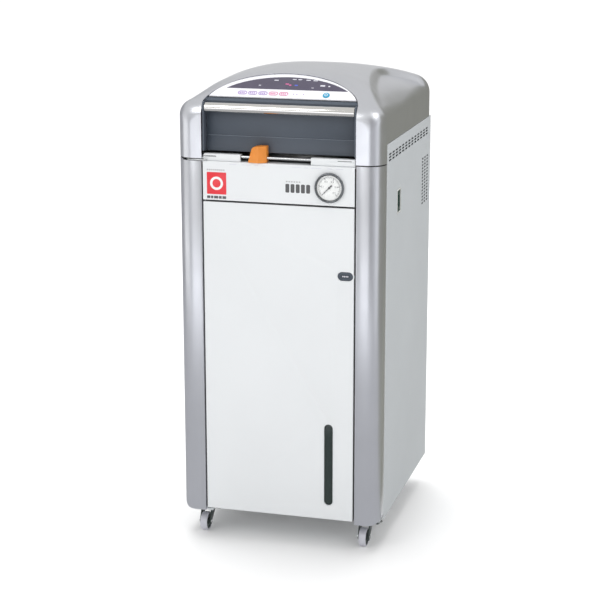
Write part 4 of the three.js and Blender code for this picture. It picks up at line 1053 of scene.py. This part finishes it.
moon = prism("panel_face", moon_outline(0), PANEL_DEPTH, FILM, "z", 0.3, 2, 0.5)
place(on_arch(moon), "hood", "panel_film", "control_panel")
key_low, key_high = node_box("start_key")
KEY_R = (key_high[0] - key_low[0]) / 2
KEY_CENTRE = ((key_low[0] + key_high[0]) / 2, KEY_S, PANEL_DEPTH)
strip = on_arch(prism("key_strip_face", strip_outline(), PANEL_DEPTH, FILM, "z", 0.4, 2))
carve(strip, on_arch(prism("moon", moon_outline(0.3), PANEL_DEPTH - 9, PANEL_DEPTH + 20, "z", 0)),
      on_arch(lathe("hole", band(0, KEY_R + 0.4, -9, 20), KEY_CENTRE, "z", 48)))
place(strip, "hood", "key_film", "keypad_strip")
cap = lathe("start_key_cap", [(0, -5), (KEY_R, -5), (KEY_R, 4.2), (0, 4.6)], KEY_CENTRE, "z", 48, soft=0.8)
place(on_arch(cap), "start_key", "blue_plastic", "start_key")
mark = on_arch(lathe("start_key_mark", band(2.6, 3.5, 4.3, 4.9), KEY_CENTRE, "z", 32, closed=True))
place(mark, "start_key", "blue_plastic", paint=PRINT["white"])


def film_marks(name, places, colour, slot="key_film", thick=0.12, radius=0.04):
    """Printed marks on the slope, each given by its middle (x, s), its width and its height."""
    made = [block("mark", (x - w / 2, s - h / 2, FILM), (x + w / 2, s + h / 2, FILM + thick), radius, 1)
            for x, s, w, h in places]
    place(on_arch(gathered(name, *made)), "hood", slot, paint=PRINT[colour])


KEY_GLYPHS = [-4.7, -0.7, 3.3]
for i in range(5):
    x = -87 + 22 * i
    frame_line = [(px, py, FILM + 0.05) for px, py in pill(x, KEY_S, 18, 8.5, 5)]
    outline = on_arch(tube(f"key_outline_{i}", frame_line, 0.75, 6, closed=True))
    key_colour = "pink" if i > 2 else "violet"
    place(outline, "hood", "key_film", paint=PRINT[key_colour])
    film_marks(f"key_glyph_{i}", [(x + dx, KEY_S, 2.6, 3.6) for dx in KEY_GLYPHS], key_colour, "key_film",
               0.15, 0.05)
film_marks("key_dots", [(x + 1.1, KEY_S + 0.1, 2.2, 2.2) for x in (21, 28, 42)], "violet")
PANEL_LAMPS = (
    ("panel_lamps_high", "light", [(-23, 76, 9, 2.6), (15, 80, 8, 2.4), (27, 80, 8, 2.4), (45, 79, 9, 2.4),
                                   (60, 78, 9, 2.4)]),
    ("panel_lamps_low", "light", [(78, 64, 10, 4), (92, 63, 4, 3), (-55, 60, 5, 2), (58, 57, 5, 1.6)]),
    ("panel_lamps_pink", "pink", [(2, 66, 7, 3), (9, 63, 5, 3)]),
    ("panel_lamps_blue", "blue", [(22, 63, 7, 3)]))
for name, colour, lamps in PANEL_LAMPS:
    film_marks(name, lamps, colour, "panel_film")

# ---- slate front panel, its cheeks and the handle bar ----
bar_low, bar_high = node_box("handle_bar")
_, BAR_Y, BAR_Z = middle_of(bar_low, bar_high)
BAR_R = (bar_high[2] - bar_low[2]) / 2
CREASE = 877
SLATE_LOW = HOOD_BOTTOM + 14
folded = [(21, SLATE_LOW), (23.4, CREASE - 0.6), (22.6, CREASE), (24, CREASE + 0.8), (24, 948.5), (32, 954.2),
          (32, 951), (27, 946), (27, CREASE), (24, SLATE_LOW)]
panel = prism("slate_face", [(FRONT + y, z) for y, z in folded], -DOOR_HALF, DOOR_HALF, "x", 0.3, 2, 0.4)
cheek = [(2, SLATE_LOW + 1), (22, SLATE_LOW + 1), (26, 938), (26, 948), (4, 948)]
cheek = [(FRONT + y, z) for y, z in cheek]
cheeks = [prism("cheek", cheek, s * (DOOR_HALF - 3.4), s * (DOOR_HALF - 0.2), "x", 0.5, 2) for s in (-1, 1)]
dot_profile = [(0, -0.5), (0.9, -0.5), (1.1, 0.3), (0, 0.3)]
dots = [lathe("dot", dot_profile, (x, FRONT + 23, 861), "y", 16, soft=0.2) for x in (92, 100, 108)]
place(gathered("slate_panel", panel, *cheeks, *dots), "hood", "slate", "front_panel")
# A thin lighter bar along the fold: a painted highlight where the crease catches the light.
crease_line = [(x, FRONT + 22.9, CREASE) for x in (-DOOR_HALF + 6, 0, DOOR_HALF - 4)]
crease = tube("slate_crease", crease_line, 0.55, 8)
place(crease, "hood", "slate", paint=surface("slate_crease_highlight", (0.16, 0.19, 0.23), 0.4, mottle=0.1,
                                             mottle_size=40))
bar = lathe("grab_bar", band(0, BAR_R, bar_low[0], bar_high[0]), (0, BAR_Y, BAR_Z), "x", 64, soft=1.2,
            soft_steps=4)
place(bar, "hood", "chrome_trim", "handle_bar")

# ---- pressure lid, gasket and arm ----
CHAMBER_AXIS = (0, CHAMBER_Y, 0)
lid_low, lid_high = node_box("pressure_lid")
LID_R, LID_Z = lid_high[0], lid_low[2]
lid = [(0, LID_Z), (LID_R, LID_Z), (LID_R, LID_Z + 8), (150, LID_Z + 9), (118, LID_Z + 12), (80, LID_Z + 16),
       (40, lid_high[2] - 0.6), (0, lid_high[2])]
place(lathe("lid_disc", lid, CHAMBER_AXIS, "z", 128, soft=2.5, soft_steps=4), "hood", "stainless",
      "pressure_lid")
seal_low, seal_high = node_box("lid_gasket")
dark_band = lathe("lid_seal", band(VESSEL_R - 1.5, seal_high[0], seal_low[2], seal_high[2]), CHAMBER_AXIS, "z",
             128, closed=True, soft=1.1, soft_steps=4)
place(dark_band, "hood", "gasket_rubber", "lid_gasket")
ARM_TOP = node_box("lid_arm")[1][2]
POST_LOW, POST_HIGH = lid_high[2] + SEAM, ARM_TOP - 6
post = [(0, POST_LOW), (16, POST_LOW), (16, POST_LOW + 6), (11, POST_LOW + 10), (11, POST_HIGH),
        (0, POST_HIGH)]
post = lathe("post", post, CHAMBER_AXIS, "z", 48, soft=1.2)
beam = block("beam", (-24, CHAMBER_Y - 30, ARM_TOP - 12), (24, HINGE_Y - 12, ARM_TOP), 2.5, 3)
carve(beam, block("relief", (-12, CHAMBER_Y + 30, ARM_TOP - 4), (12, HINGE_Y - 40, ARM_TOP + 4), 2, 2))
cross = block("cross", (-120, HINGE_Y - 26, LID_Z + 30), (120, HINGE_Y - 12, ARM_TOP), 2.5, 3)
KNUCKLE_IN, KNUCKLE_OUT = 3.3, 6
barrel = lathe("barrel", band(KNUCKLE_IN, KNUCKLE_OUT, -115, 115), HINGE_AXIS, "x", 32, closed=True, soft=0.5)
web = block("web", (-110, HINGE_Y - 14, HINGE_Z + 1), (110, HINGE_Y - 4.5, HINGE_Z + 4.5), 1, 2)
place(gathered("hood_arm", post, beam, cross, barrel, web), "hood", "side_grey", "lid_arm")
bolts = [lathe("bolt", band(0, 6, ARM_TOP - 0.2, ARM_TOP + 4.5), (x, CHAMBER_Y + y, 0), "z", 6, soft=0.8)
         for x in (-15, 15) for y in (-18, 14)]
place(gathered("hood_arm_bolts", *bolts), "hood", "bright_steel")

# ---------------------------------------------------------------- rear hinge
hinge_rod = lathe("hinge_rod", band(0, 3, pin_low[0], pin_high[0]), HINGE_AXIS, "x", 32, soft=0.8)
place(hinge_rod, "cabinet", "bright_steel", "hinge_pin")
knuckles = []
for x in (-140, 140):
    knuckles.append(lathe("barrel", band(KNUCKLE_IN, KNUCKLE_OUT, x - 13, x + 13), HINGE_AXIS, "x", 32,
                          closed=True, soft=0.5))
    knuckles.append(block("strap", (x - 13, REAR + SEAM, HINGE_Z - 42),
                          (x + 13, REAR + 3, HINGE_Z - 2), 0.8, 2))
knuckles.append(block("bridge", (hinge_low[0], REAR + SEAM, hinge_low[2]),
                      (hinge_high[0], REAR + 3, hinge_low[2] + 20), 0.8, 2))
knuckles += [screw((x, REAR + 2.9, hinge_low[2] + 10), "y", 4) for x in (-140, -90, 0, 90, 140)]
place(gathered("hinge_leaf", *knuckles), "cabinet", "bright_steel", "hinge_bracket")

# ---------------------------------------------------------------- castors
wheel_low, wheel_high = node_box("front_right_castor_wheel")
WHEEL_R = (wheel_high[2] - wheel_low[2]) / 2
TRAIL = 20
FORK_TOP = BODY_BOTTOM - 3.3
TYRE = [(16.8, -7.4), (WHEEL_R - 2, -8), (WHEEL_R, -6.2), (WHEEL_R, 6.2), (WHEEL_R - 2, 8), (16.8, 7.4)]
half_hub = [(16.7, 7), (15, 7), (14, 5.5), (8.5, 5.5), (7, 8), (3.3, 8)]
HUB = [(r, -h) for r, h in half_hub[::-1]] + half_hub


def castor_leg(x, y, leg):
    """One leg of a fork, from under its bridge down to the axle."""
    pivot = y + TRAIL
    round_foot = [(-7.5, 2), (-6.5, -4), (-2.5, -7.4), (2.5, -7.4), (6.5, -4), (8, 2)]
    outline = [(pivot + 13, FORK_TOP - 5), (pivot - 14, FORK_TOP - 5)]
    outline += [(y + dy, WHEEL_R + dz) for dy, dz in round_foot] + [(pivot + 10, FORK_TOP - 17)]
    return prism("leg", outline, x + leg * 9.8, x + leg * 12.2, "x", 0.4, 2)


def brake_outline(pivot):
    """A pedal seen from the side: its upper line out to the toe, and its lower line back."""
    upper = [(0, 40), (8, 44), (26, 40.5), (38, 36), (43, 33.6), (44, 31)]
    lower = [(43, 28.9), (36, 31), (24, 35), (8, 37.6)]
    return [(pivot + y, z) for y, z in upper + lower]


for end in ("front", "rear"):
    for side, sign in SIDES[::-1]:
        name = f"{end}_{side}_castor"
        x, y, _ = middle_of(*node_box(f"{name}_wheel"))
        axle = (x, y, WHEEL_R)
        swivel = (x, y + TRAIL, 0)
        wheel = f"{end}_{side}_wheel"
        place(lathe(f"{name}_tyre", TYRE, axle, "x", 64, closed=True, soft=1.2, soft_steps=4), wheel,
              "castor_tyre",
              f"{name}_wheel")
        place(lathe(f"{name}_hub", HUB, axle, "x", 48, closed=True, soft=0.6), wheel, "dark_steel")
        legs = []
        for leg in (-1, 1):
            legs.append(castor_leg(x, y, leg))
            nut = band(0, 4.4, leg * 12.2, leg * 14)
            nut = lathe(f"{name}_nut_{'inner' if leg * sign < 0 else 'outer'}", nut, axle, "x", 6, soft=0.5)
            place(nut, name, "bright_steel")
        legs.append(block("bridge", (x - 12.2, swivel[1] - 14, FORK_TOP - 7),
                          (x + 12.2, swivel[1] + 13, FORK_TOP - 4.4), 0.8, 3))
        race = [(0, FORK_TOP - 4.5), (14, FORK_TOP - 4.5), (15, FORK_TOP - 2), (15, FORK_TOP), (0, FORK_TOP)]
        legs.append(lathe("race", race, swivel, "z", 48, soft=0.8))
        place(gathered(f"{name}_yoke", *legs), name, "dark_steel", f"{name}_fork")
        place(lathe(f"{name}_axle", band(0, 3, -9.7, 9.7), axle, "x", 24), name, "bright_steel")
        collar = band(15.6, 18, FORK_TOP - 1.5, BODY_BOTTOM)
        place(lathe(f"{name}_collar", collar, swivel, "z", 48, closed=True, soft=0.6), "cabinet",
              "bright_steel")
        if end == "front":
            pedal = f"{side}_brake_pedal"
            pedal_low, pedal_high = node_box(pedal)
            lever = brake_outline(swivel[1] + 6)
            lever = prism(f"{side}_brake_lever", lever, pedal_low[0], pedal_high[0], "x", 1.2, 3)
            place(lever, pedal, "dark_steel", pedal)

# ---------------------------------------------------------------- chamber, basket and fittings
WALL = 4
POT_Z = vessel_low[2]
pot_outside = [(0, 0), (60, 1.5), (90, 5), (VESSEL_R - 12, 22), (VESSEL_R - 3, 34), (VESSEL_R, 48)]
pot_inside = [(VESSEL_R - WALL, 48), (VESSEL_R - WALL - 3, 38), (VESSEL_R - WALL - 12, 27), (90, 9), (60, 5),
              (0, 4)]
pot = [(r, POT_Z + h) for r, h in pot_outside] + [(VESSEL_R, CHAMBER_TOP), (VESSEL_R - WALL, CHAMBER_TOP)]
pot += [(r, POT_Z + h) for r, h in pot_inside]
place(lathe("chamber_pot", pot, CHAMBER_AXIS, "z", 128, soft=1.2), "cabinet", "stainless", "chamber_vessel")
flange_low, flange_high = node_box("chamber_flange")
FLANGE_R = flange_high[0]
flange = lathe("flange_ring", band(VESSEL_R + SEAM, FLANGE_R, flange_low[2], CHAMBER_TOP), CHAMBER_AXIS, "z",
               128, closed=True, soft=1.6)
bolt = [(0, CHAMBER_TOP - 0.4), (4.2, CHAMBER_TOP - 0.4), (4.2, CHAMBER_TOP + 1.6), (0, CHAMBER_TOP + 1.9)]
bolt_heads = [lathe("bolt", bolt, (x, y, 0), "z", 20, soft=0.5)
              for x, y in round_the_chamber((seal_high[0] + FLANGE_R) / 2 + 4, 12, 0.5)]
place(gathered("flange_collar", flange, *bolt_heads), "cabinet", "stainless", "chamber_flange")

jacket_low, jacket_high = node_box("insulation_jacket")
JACKET_R, JACKET_Z = jacket_high[0], jacket_low[2]
JACKET_HEIGHT = jacket_high[2] - JACKET_Z
QUILT_ROWS, ROW_STEPS = 14, 6
quilt = []
for k in range(QUILT_ROWS * ROW_STEPS + 1):
    puff = abs(math.sin(math.pi * k / ROW_STEPS)) ** 0.6
    quilt.append((JACKET_R - 2.4 + 2.2 * puff, JACKET_Z + JACKET_HEIGHT * k / (QUILT_ROWS * ROW_STEPS)))
quilt += [(VESSEL_R + 1, jacket_high[2]), (VESSEL_R + 1, JACKET_Z)]
place(lathe("jacket_wrap", quilt, CHAMBER_AXIS, "z", 96, closed=True), "cabinet", "insulation",
      "insulation_jacket")
for k in (1, 2):
    z = JACKET_Z + JACKET_HEIGHT * k / 3
    strap = lathe(f"jacket_band_{k}", band(JACKET_R - 0.6, JACKET_R + 0.4, z - 8, z + 8), CHAMBER_AXIS, "z",
                  96, closed=True, soft=0.3)
    place(strap, "cabinet", "bright_steel")

heater_low, heater_high = node_box("heater_element")
HEATER_Z, HEATER_R = (heater_low[2] + heater_high[2]) / 2, heater_high[0] - 5
coil = [(HEATER_R * math.cos(t), CHAMBER_Y + HEATER_R * math.sin(t), HEATER_Z)
        for t in np.linspace(0.12, 2 * math.pi - 0.12, 96)]
coil = [(*coil[0][:2], HEATER_Z - 9)] + coil + [(*coil[-1][:2], HEATER_Z - 9)]
place(tube("heater_coil", coil, 4.8, 16), "cabinet", "stainless", "heater_element")

plate_low, plate_high = node_box("basket_support_plate")
PLATE_R, PLATE_TOP = plate_high[0], plate_high[2]
plate = [(0, PLATE_TOP - 3), (PLATE_R - 3, PLATE_TOP - 3), (PLATE_R - 3, plate_low[2]),
         (PLATE_R, plate_low[2]),
         (PLATE_R, PLATE_TOP), (0, PLATE_TOP)]
plate = lathe("support_disc", plate, CHAMBER_AXIS, "z", 96, soft=1.0)
# Rings of holes: each ring's radius, how many holes it has, and their radius.
HOLE_RINGS = ((36, 6, 6), (68, 10, 8), (102, 16, 8))
holes = [lathe("hole", band(0, hole_r, -9, 9), (x, y, PLATE_TOP), "z", 20)
         for ring_r, count, hole_r in HOLE_RINGS for x, y in round_the_chamber(ring_r, count)]
carve(plate, gathered("holes", *holes))
place(plate, "cabinet", "stainless", "basket_support_plate")

# The basket is a wire frame: hoops and uprights round a wire floor, with a bail at its rim.
basket_low, basket_high = node_box("basket")
BASKET_R, BASKET_Z, BASKET_TOP = basket_high[0] - 4, basket_low[2], basket_high[2]
WIRE = 1.5
HOOP_WIRES = [1.5 * WIRE] + [WIRE] * 7 + [3.4]
basket = []
for k, wire in enumerate(HOOP_WIRES):
    z = BASKET_Z + 2 + (BASKET_TOP - BASKET_Z - 6) * k / (len(HOOP_WIRES) - 1)
    basket.append(tube("hoop", [(x, y, z) for x, y in round_the_chamber(BASKET_R, 72)], wire, 10,
                       closed=True))
UPRIGHT_R = BASKET_R - 2 * WIRE
upright = [(UPRIGHT_R, BASKET_TOP - 4), (UPRIGHT_R, BASKET_Z + 8), (UPRIGHT_R - 2, BASKET_Z + 3.4),
           (UPRIGHT_R - 8, BASKET_Z + 1.8), (20, BASKET_Z + 1.8)]
for t in np.linspace(0, 2 * math.pi, 41)[:-1]:
    line = [(r * math.cos(t), CHAMBER_Y + r * math.sin(t), z) for r, z in upright]
    basket.append(tube("upright", line, WIRE, 8))
for r in (22, 50, 78, 106):
    floor_ring = [(x, y, BASKET_Z + 4.4) for x, y in round_the_chamber(r, 60)]
    basket.append(tube("floor_ring", floor_ring, WIRE, 8, closed=True))
bail = [(x, y, BASKET_TOP - 9) for x, y in arc((0, CHAMBER_Y), BASKET_R - 7, 0, 2, 48)]
basket.append(tube("bail", bail, 2.2, 12))
place(gathered("wire_basket", *basket), "basket", "stainless", "basket")

deck_low, deck_high = node_box("top_deck")
deck = block("deck_plate", deck_low, deck_high, 0.8, 2)
carve(deck, lathe("hole", band(0, 178, deck_low[2] - 9, deck_high[2] + 9), CHAMBER_AXIS, "z", 96))
place(deck, "cabinet", "side_grey", "top_deck")
deck_screws = [screw((x, y, deck_high[2] - 0.1), "z", 3.4) for x in (-190, 190)
               for y in (-190, -60, 120, 215)]
place(gathered("deck_screws", *deck_screws), "cabinet", "bright_steel")

valve_low, valve_high = node_box("safety_valve")
VALVE_X, VALVE_Y, VALVE_Z = (valve_low[0] + valve_high[0]) / 2, valve_high[1] - 13, valve_low[2]
valve = [(0, 0), (9, 0), (9, 8), (11, 9), (11, 15), (9, 16), (13, 18), (13, 36), (11, 38), (8, 42), (8, 60),
         (5, 64), (5, 74), (0, 74)]
valve = lathe("valve", valve, (VALVE_X, VALVE_Y, VALVE_Z), "z", 48, soft=0.8)
spout = lathe("spout", band(0, 6, -28, -2), (VALVE_X, VALVE_Y, VALVE_Z + 28), "y", 32, soft=0.8)
place(gathered("relief_valve", valve, spout), "cabinet", "brass_fitting", "safety_valve")

drain_low, drain_high = node_box("drain_valve")
DRAIN_X, DRAIN_Y, DRAIN_Z = (drain_low[0] + drain_high[0]) / 2, drain_high[1] - 15, drain_high[2] - 15
DRAIN = (DRAIN_X, DRAIN_Y, DRAIN_Z)
half_pipe = [(15, 17), (11, 18), (11, 23), (9, 24), (9, 37), (0, 37)]
pipe = lathe("pipe", [(r, -h) for r, h in half_pipe[::-1]] + half_pipe, DRAIN, "x", 48, soft=0.8)
neck = lathe("neck", [(0, -28), (5, -28), (7, -26), (7, -8), (0, -8)], DRAIN, "y", 32, soft=0.6)
foot = block("foot", (DRAIN_X - 10, DRAIN_Y - 6, drain_low[2]),
             (DRAIN_X + 10, DRAIN_Y + 6, DRAIN_Z - 4), 1.2, 2)
place(gathered("drain_cock", pipe, neck, foot), "cabinet", "stainless", "drain_valve")
grip_low, grip_high = node_box("drain_lever")
grip_hub = lathe("hub", band(0, 9, grip_low[1], grip_high[1]), (DRAIN_X, 0, DRAIN_Z), "y", 48, soft=0.8)
grip_outline = [(0, -5.4), (24, -4.6), (48, -6), (58, -5), (62, 0), (58, 5), (48, 6), (24, 4.6), (0, 5.4)]
grip_outline = [(DRAIN_X + a, DRAIN_Z + b) for a, b in smooth_pairs(grip_outline)]
grip = prism("grip", grip_outline, grip_low[1] + 0.2, grip_low[1] + 4, "y", 1.0, 3, 0.9)
place(gathered("drain_handle", grip_hub, grip), "drain_lever", "red_plastic", "drain_lever")

bottle_low, bottle_high = node_box("exhaust_bottle")
BOTTLE_X, BOTTLE_Y, _ = middle_of(bottle_low, bottle_high)
BOTTLE_HALF_X, BOTTLE_HALF_Y = (bottle_high[0] - bottle_low[0]) / 2, (bottle_high[1] - bottle_low[1]) / 2
SHOULDER_Z = bottle_high[2] - 19
BOTTLE_POWER = 0.42


def bottle_shape(name, inset, low, neck_top, neck_r):
    """A blow-moulded tank: a rounded box drawn in to a round neck."""
    # Each level has a height, its size, and how far it has gone from the box to the round neck.
    levels = [(low, 0.90, 0), (low + 2, 0.96, 0), (low + 6, 1, 0)]
    levels += [(low + 6 + (SHOULDER_Z - 14 - low - 6) * k / 6, 1, 0) for k in range(1, 7)]
    shoulder = [(-8, 0.985, 0.02), (-3, 0.93, 0.10), (-0.6, 0.82, 0.3), (0, 0.66, 0.6), (0.8, 0.5, 0.95),
                (3, 0.45, 1)]
    levels += [(SHOULDER_Z + dz, size, roundness) for dz, size, roundness in shoulder]
    levels.append((neck_top, 0.45, 1))
    bm = bmesh.new()
    rows = []
    count = 64
    for z, size, roundness in levels:
        row = []
        for k in range(count):
            c, s = math.cos(2 * math.pi * k / count), math.sin(2 * math.pi * k / count)
            x = math.copysign(abs(c) ** BOTTLE_POWER, c) * (BOTTLE_HALF_X - inset) * size
            y = math.copysign(abs(s) ** BOTTLE_POWER, s) * (BOTTLE_HALF_Y - inset) * size
            x, y = x * (1 - roundness) + c * neck_r * roundness, y * (1 - roundness) + s * neck_r * roundness
            row.append(bm.verts.new((BOTTLE_X + x, BOTTLE_Y + y, z)))
        rows.append(row)
    join_rows(bm, rows)
    bm.faces.new(rows[0][::-1])
    bm.faces.new(rows[-1])
    return from_bmesh(name, bm)


bottle = bottle_shape("tank", 0, bottle_low[2], bottle_high[2], 20)
carve(bottle, bottle_shape("room", 3, bottle_low[2] + 3.5, bottle_high[2] + 4, 17))
place(bottle, "cabinet", "bottle_plastic", "exhaust_bottle")
level_marks = [block("mark", (BOTTLE_X - 30, bottle_low[1] - 0.02, z),
                     (BOTTLE_X - (12 if k % 2 else 4), bottle_low[1] + 0.6, z + 0.9), 0.1, 1)
               for k, z in enumerate(range(100, 240, 20))]
place(gathered("bottle_level_marks", *level_marks), "cabinet", "bottle_plastic", paint=PRINT["blue"])
cap_low, cap_high = node_box("bottle_cap")
CAP_Z0, CAP_Z1 = cap_low[2], cap_high[2]
cap = [(20.4, CAP_Z0), (25, CAP_Z0), (25, CAP_Z1), (6.4, CAP_Z1), (6.4, CAP_Z1 - 5), (20.4, CAP_Z1 - 5)]
cap = lathe("cap", cap, (BOTTLE_X, BOTTLE_Y, 0), "z", 72, closed=True, soft=0.9)
ribs = [tube("rib", [(x, y, CAP_Z0 + 3), (x, y, CAP_Z1 - 4)], 0.8, 6)
        for x, y in arc((BOTTLE_X, BOTTLE_Y), 24.6, 0, 4, 36)[:-1]]
place(gathered("bottle_screw_cap", cap, *ribs), "cabinet", "dark_plastic", "bottle_cap")


# ---------------------------------------------------------------- floor, light and camera
FLOOR = 40
OLIVE, LILAC = (1, 1, 0.86), (0.95, 0.96, 1)
WHITE = (1, 1, 1, 1)


def rectangle(width, height, place_at=Matrix.Identity(4)):
    corners = [(-width / 2, -height / 2, 0), (width / 2, -height / 2, 0), (width / 2, height / 2, 0),
               (-width / 2, height / 2, 0)]
    return [place_at @ Vector(c) for c in corners]


def stage_mesh(name, points, paint):
    """A flat face of the studio, in metres, which is not part of the autoclave."""
    bm = bmesh.new()
    bm.faces.new([bm.verts.new(p) for p in points])
    obj = link(name, mesh_of(name, bm))
    obj.data.materials.append(paint)
    return obj


floor_paint = surface("studio_floor", (0.86, 0.86, 0.86), 0.85, mottle=0.004, mottle_size=0.6, bump=0.0,
                      specular=0.1)
floor_shader = floor_paint.node_tree.nodes["Principled BSDF"]
floor_shader.inputs["Emission Color"].default_value = WHITE
floor_shader.inputs["Emission Strength"].default_value = 0.1
stage_mesh("floor", rectangle(2 * FLOOR, 2 * FLOOR), floor_paint)


def card(name, centre, width, height, facing, brightness, tint):
    """A studio card that only reflections see: black when its brightness is nought."""
    paint = bpy.data.materials.new(name)
    paint.use_nodes = True
    shader = paint.node_tree.nodes["Principled BSDF"]
    shader.inputs["Base Color"].default_value = (0.02, 0.02, 0.02, 1)
    shader.inputs["Roughness"].default_value = 1
    shader.inputs["Specular IOR Level"].default_value = 0
    shader.inputs["Emission Color"].default_value = (*tint, 1)
    shader.inputs["Emission Strength"].default_value = brightness
    turn = (Vector(facing) - Vector(centre)).to_track_quat("Z", "Y").to_matrix().to_4x4()
    obj = stage_mesh(name, rectangle(width, height, Matrix.Translation(centre) @ turn), paint)
    obj.visible_camera = False
    obj.visible_diffuse = False
    obj.visible_shadow = False
    obj.visible_transmission = False


def area_light(name, place_at, target, size, energy):
    data = bpy.data.lights.new(name, "AREA")
    data.shape = "RECTANGLE"
    data.size = size
    data.size_y = size
    data.energy = energy
    lamp = bpy.data.objects.new(name, data)
    lamp.location = place_at
    lamp.rotation_euler = (Vector(target) - Vector(place_at)).to_track_quat("-Z", "Y").to_euler()
    scene.collection.objects.link(lamp)
    return lamp


area_light("key", (-1.3, -2.8, 2.7), (0, 0, 0.9), 1.6, 23)
area_light("side_fill", (2.0, -1.3, 2.6), (0.1, 0, 0.7), 1.4, 13)
rear_fill = area_light("rear_fill", (-1.0, 3.6, 2.4), (0, 0, 0.6), 2.4, 26)
rear_fill.visible_glossy = False
sun_data = bpy.data.lights.new("sky", "SUN")
sun_data.energy = 1.9
sun_data.angle = 0.8
sun = bpy.data.objects.new("sky", sun_data)
sun.rotation_euler = (-0.3, -0.12, 0)
sun.visible_glossy = False
scene.collection.objects.link(sun)

card("card_right_back", (1.9, 2.2, 0.8), 4.2, 3.0, (0.2, 0, 0.8), 0.21, OLIVE)
card("card_front_right", (1.5, -3.4, 0.9), 1.3, 3.2, (0.2, -0.2, 0.9), 0.16, LILAC)
card("card_right_bright", (2.2, -1.15, 0.9), 0.9, 3.2, (0.2, -0.1, 0.9), 0.75, LILAC)
card("card_right_dark", (2.6, 0.2, 0.9), 1.9, 3.2, (0.2, -0.1, 0.9), 0.2, OLIVE)
card("card_right_front", (2.0, -2.1, 0.9), 1.0, 3.2, (0.2, -0.1, 0.9), 0.35, LILAC)
card("card_front_left", (-2.6, -3.4, 1.1), 1.3, 3.0, (-0.2, -0.2, 0.9), 0.3, LILAC)
card("card_left_back", (-2.6, 1.2, 0.8), 3.4, 3.0, (-0.2, 0, 0.8), 0.3, LILAC)
# Rows of the floor in front of the machine, as its shiny sheets see them: near, far and brightness.
FLOOR_ROWS = ((0.1, 1.6, 0.42), (1.6, 2.6, 0.75), (2.6, 3.6, 1.15), (3.6, 9.0, 1.7))
for row, (near, far, brightness) in enumerate(FLOOR_ROWS):
    middle = (-0.4, -(near + far) / 2, 0.004)
    card(f"card_floor_{row}", middle, 6.0, far - near, (middle[0], middle[1], 1), brightness, LILAC)
card("card_floor_right", (1.75, 0.9, 0.003), 2.9, 4.2, (1.75, 0.9, 1), 0.26, OLIVE)
card("card_floor_left", (-1.75, 0.9, 0.003), 2.9, 4.2, (-1.75, 0.9, 1), 0.4, LILAC)
card("card_horizon", (0.0, -9.2, 1.0), 9.0, 0.5, (0, 0, 1.0), 0.1, OLIVE)

# The surroundings light the machine softly, and look plain white from the camera.
world = bpy.data.worlds.new("studio")
scene.world = world
world.use_nodes = True
world_nodes, world_links = world.node_tree.nodes, world.node_tree.links
ambient = world_nodes["Background"]
ambient.inputs["Color"].default_value = WHITE
ambient.inputs["Strength"].default_value = 0.6
backdrop = world_nodes.new("ShaderNodeBackground")
backdrop.inputs["Color"].default_value = WHITE
backdrop.inputs["Strength"].default_value = 1.1
path = world_nodes.new("ShaderNodeLightPath")
blend = world_nodes.new("ShaderNodeMixShader")
world_links.new(path.outputs["Is Camera Ray"], blend.inputs["Fac"])
world_links.new(ambient.outputs["Background"], blend.inputs[1])
world_links.new(backdrop.outputs["Background"], blend.inputs[2])
world_links.new(blend.outputs["Shader"], world_nodes["World Output"].inputs["Surface"])

CAMERA_TURN, CAMERA_PITCH = math.radians(15.42), math.radians(13.44)
CAMERA_PLACE = (0.970, -3.533, 1.411)
camera_data = bpy.data.cameras.new("camera")
camera_data.lens = 99.9
camera_data.sensor_width = 36
camera_data.shift_y = -0.05
camera = bpy.data.objects.new("camera", camera_data)
camera.location = CAMERA_PLACE
camera.rotation_euler = (math.pi / 2 - CAMERA_PITCH, 0, CAMERA_TURN)
scene.collection.objects.link(camera)
scene.camera = camera
scene.view_settings.view_transform = "Standard"
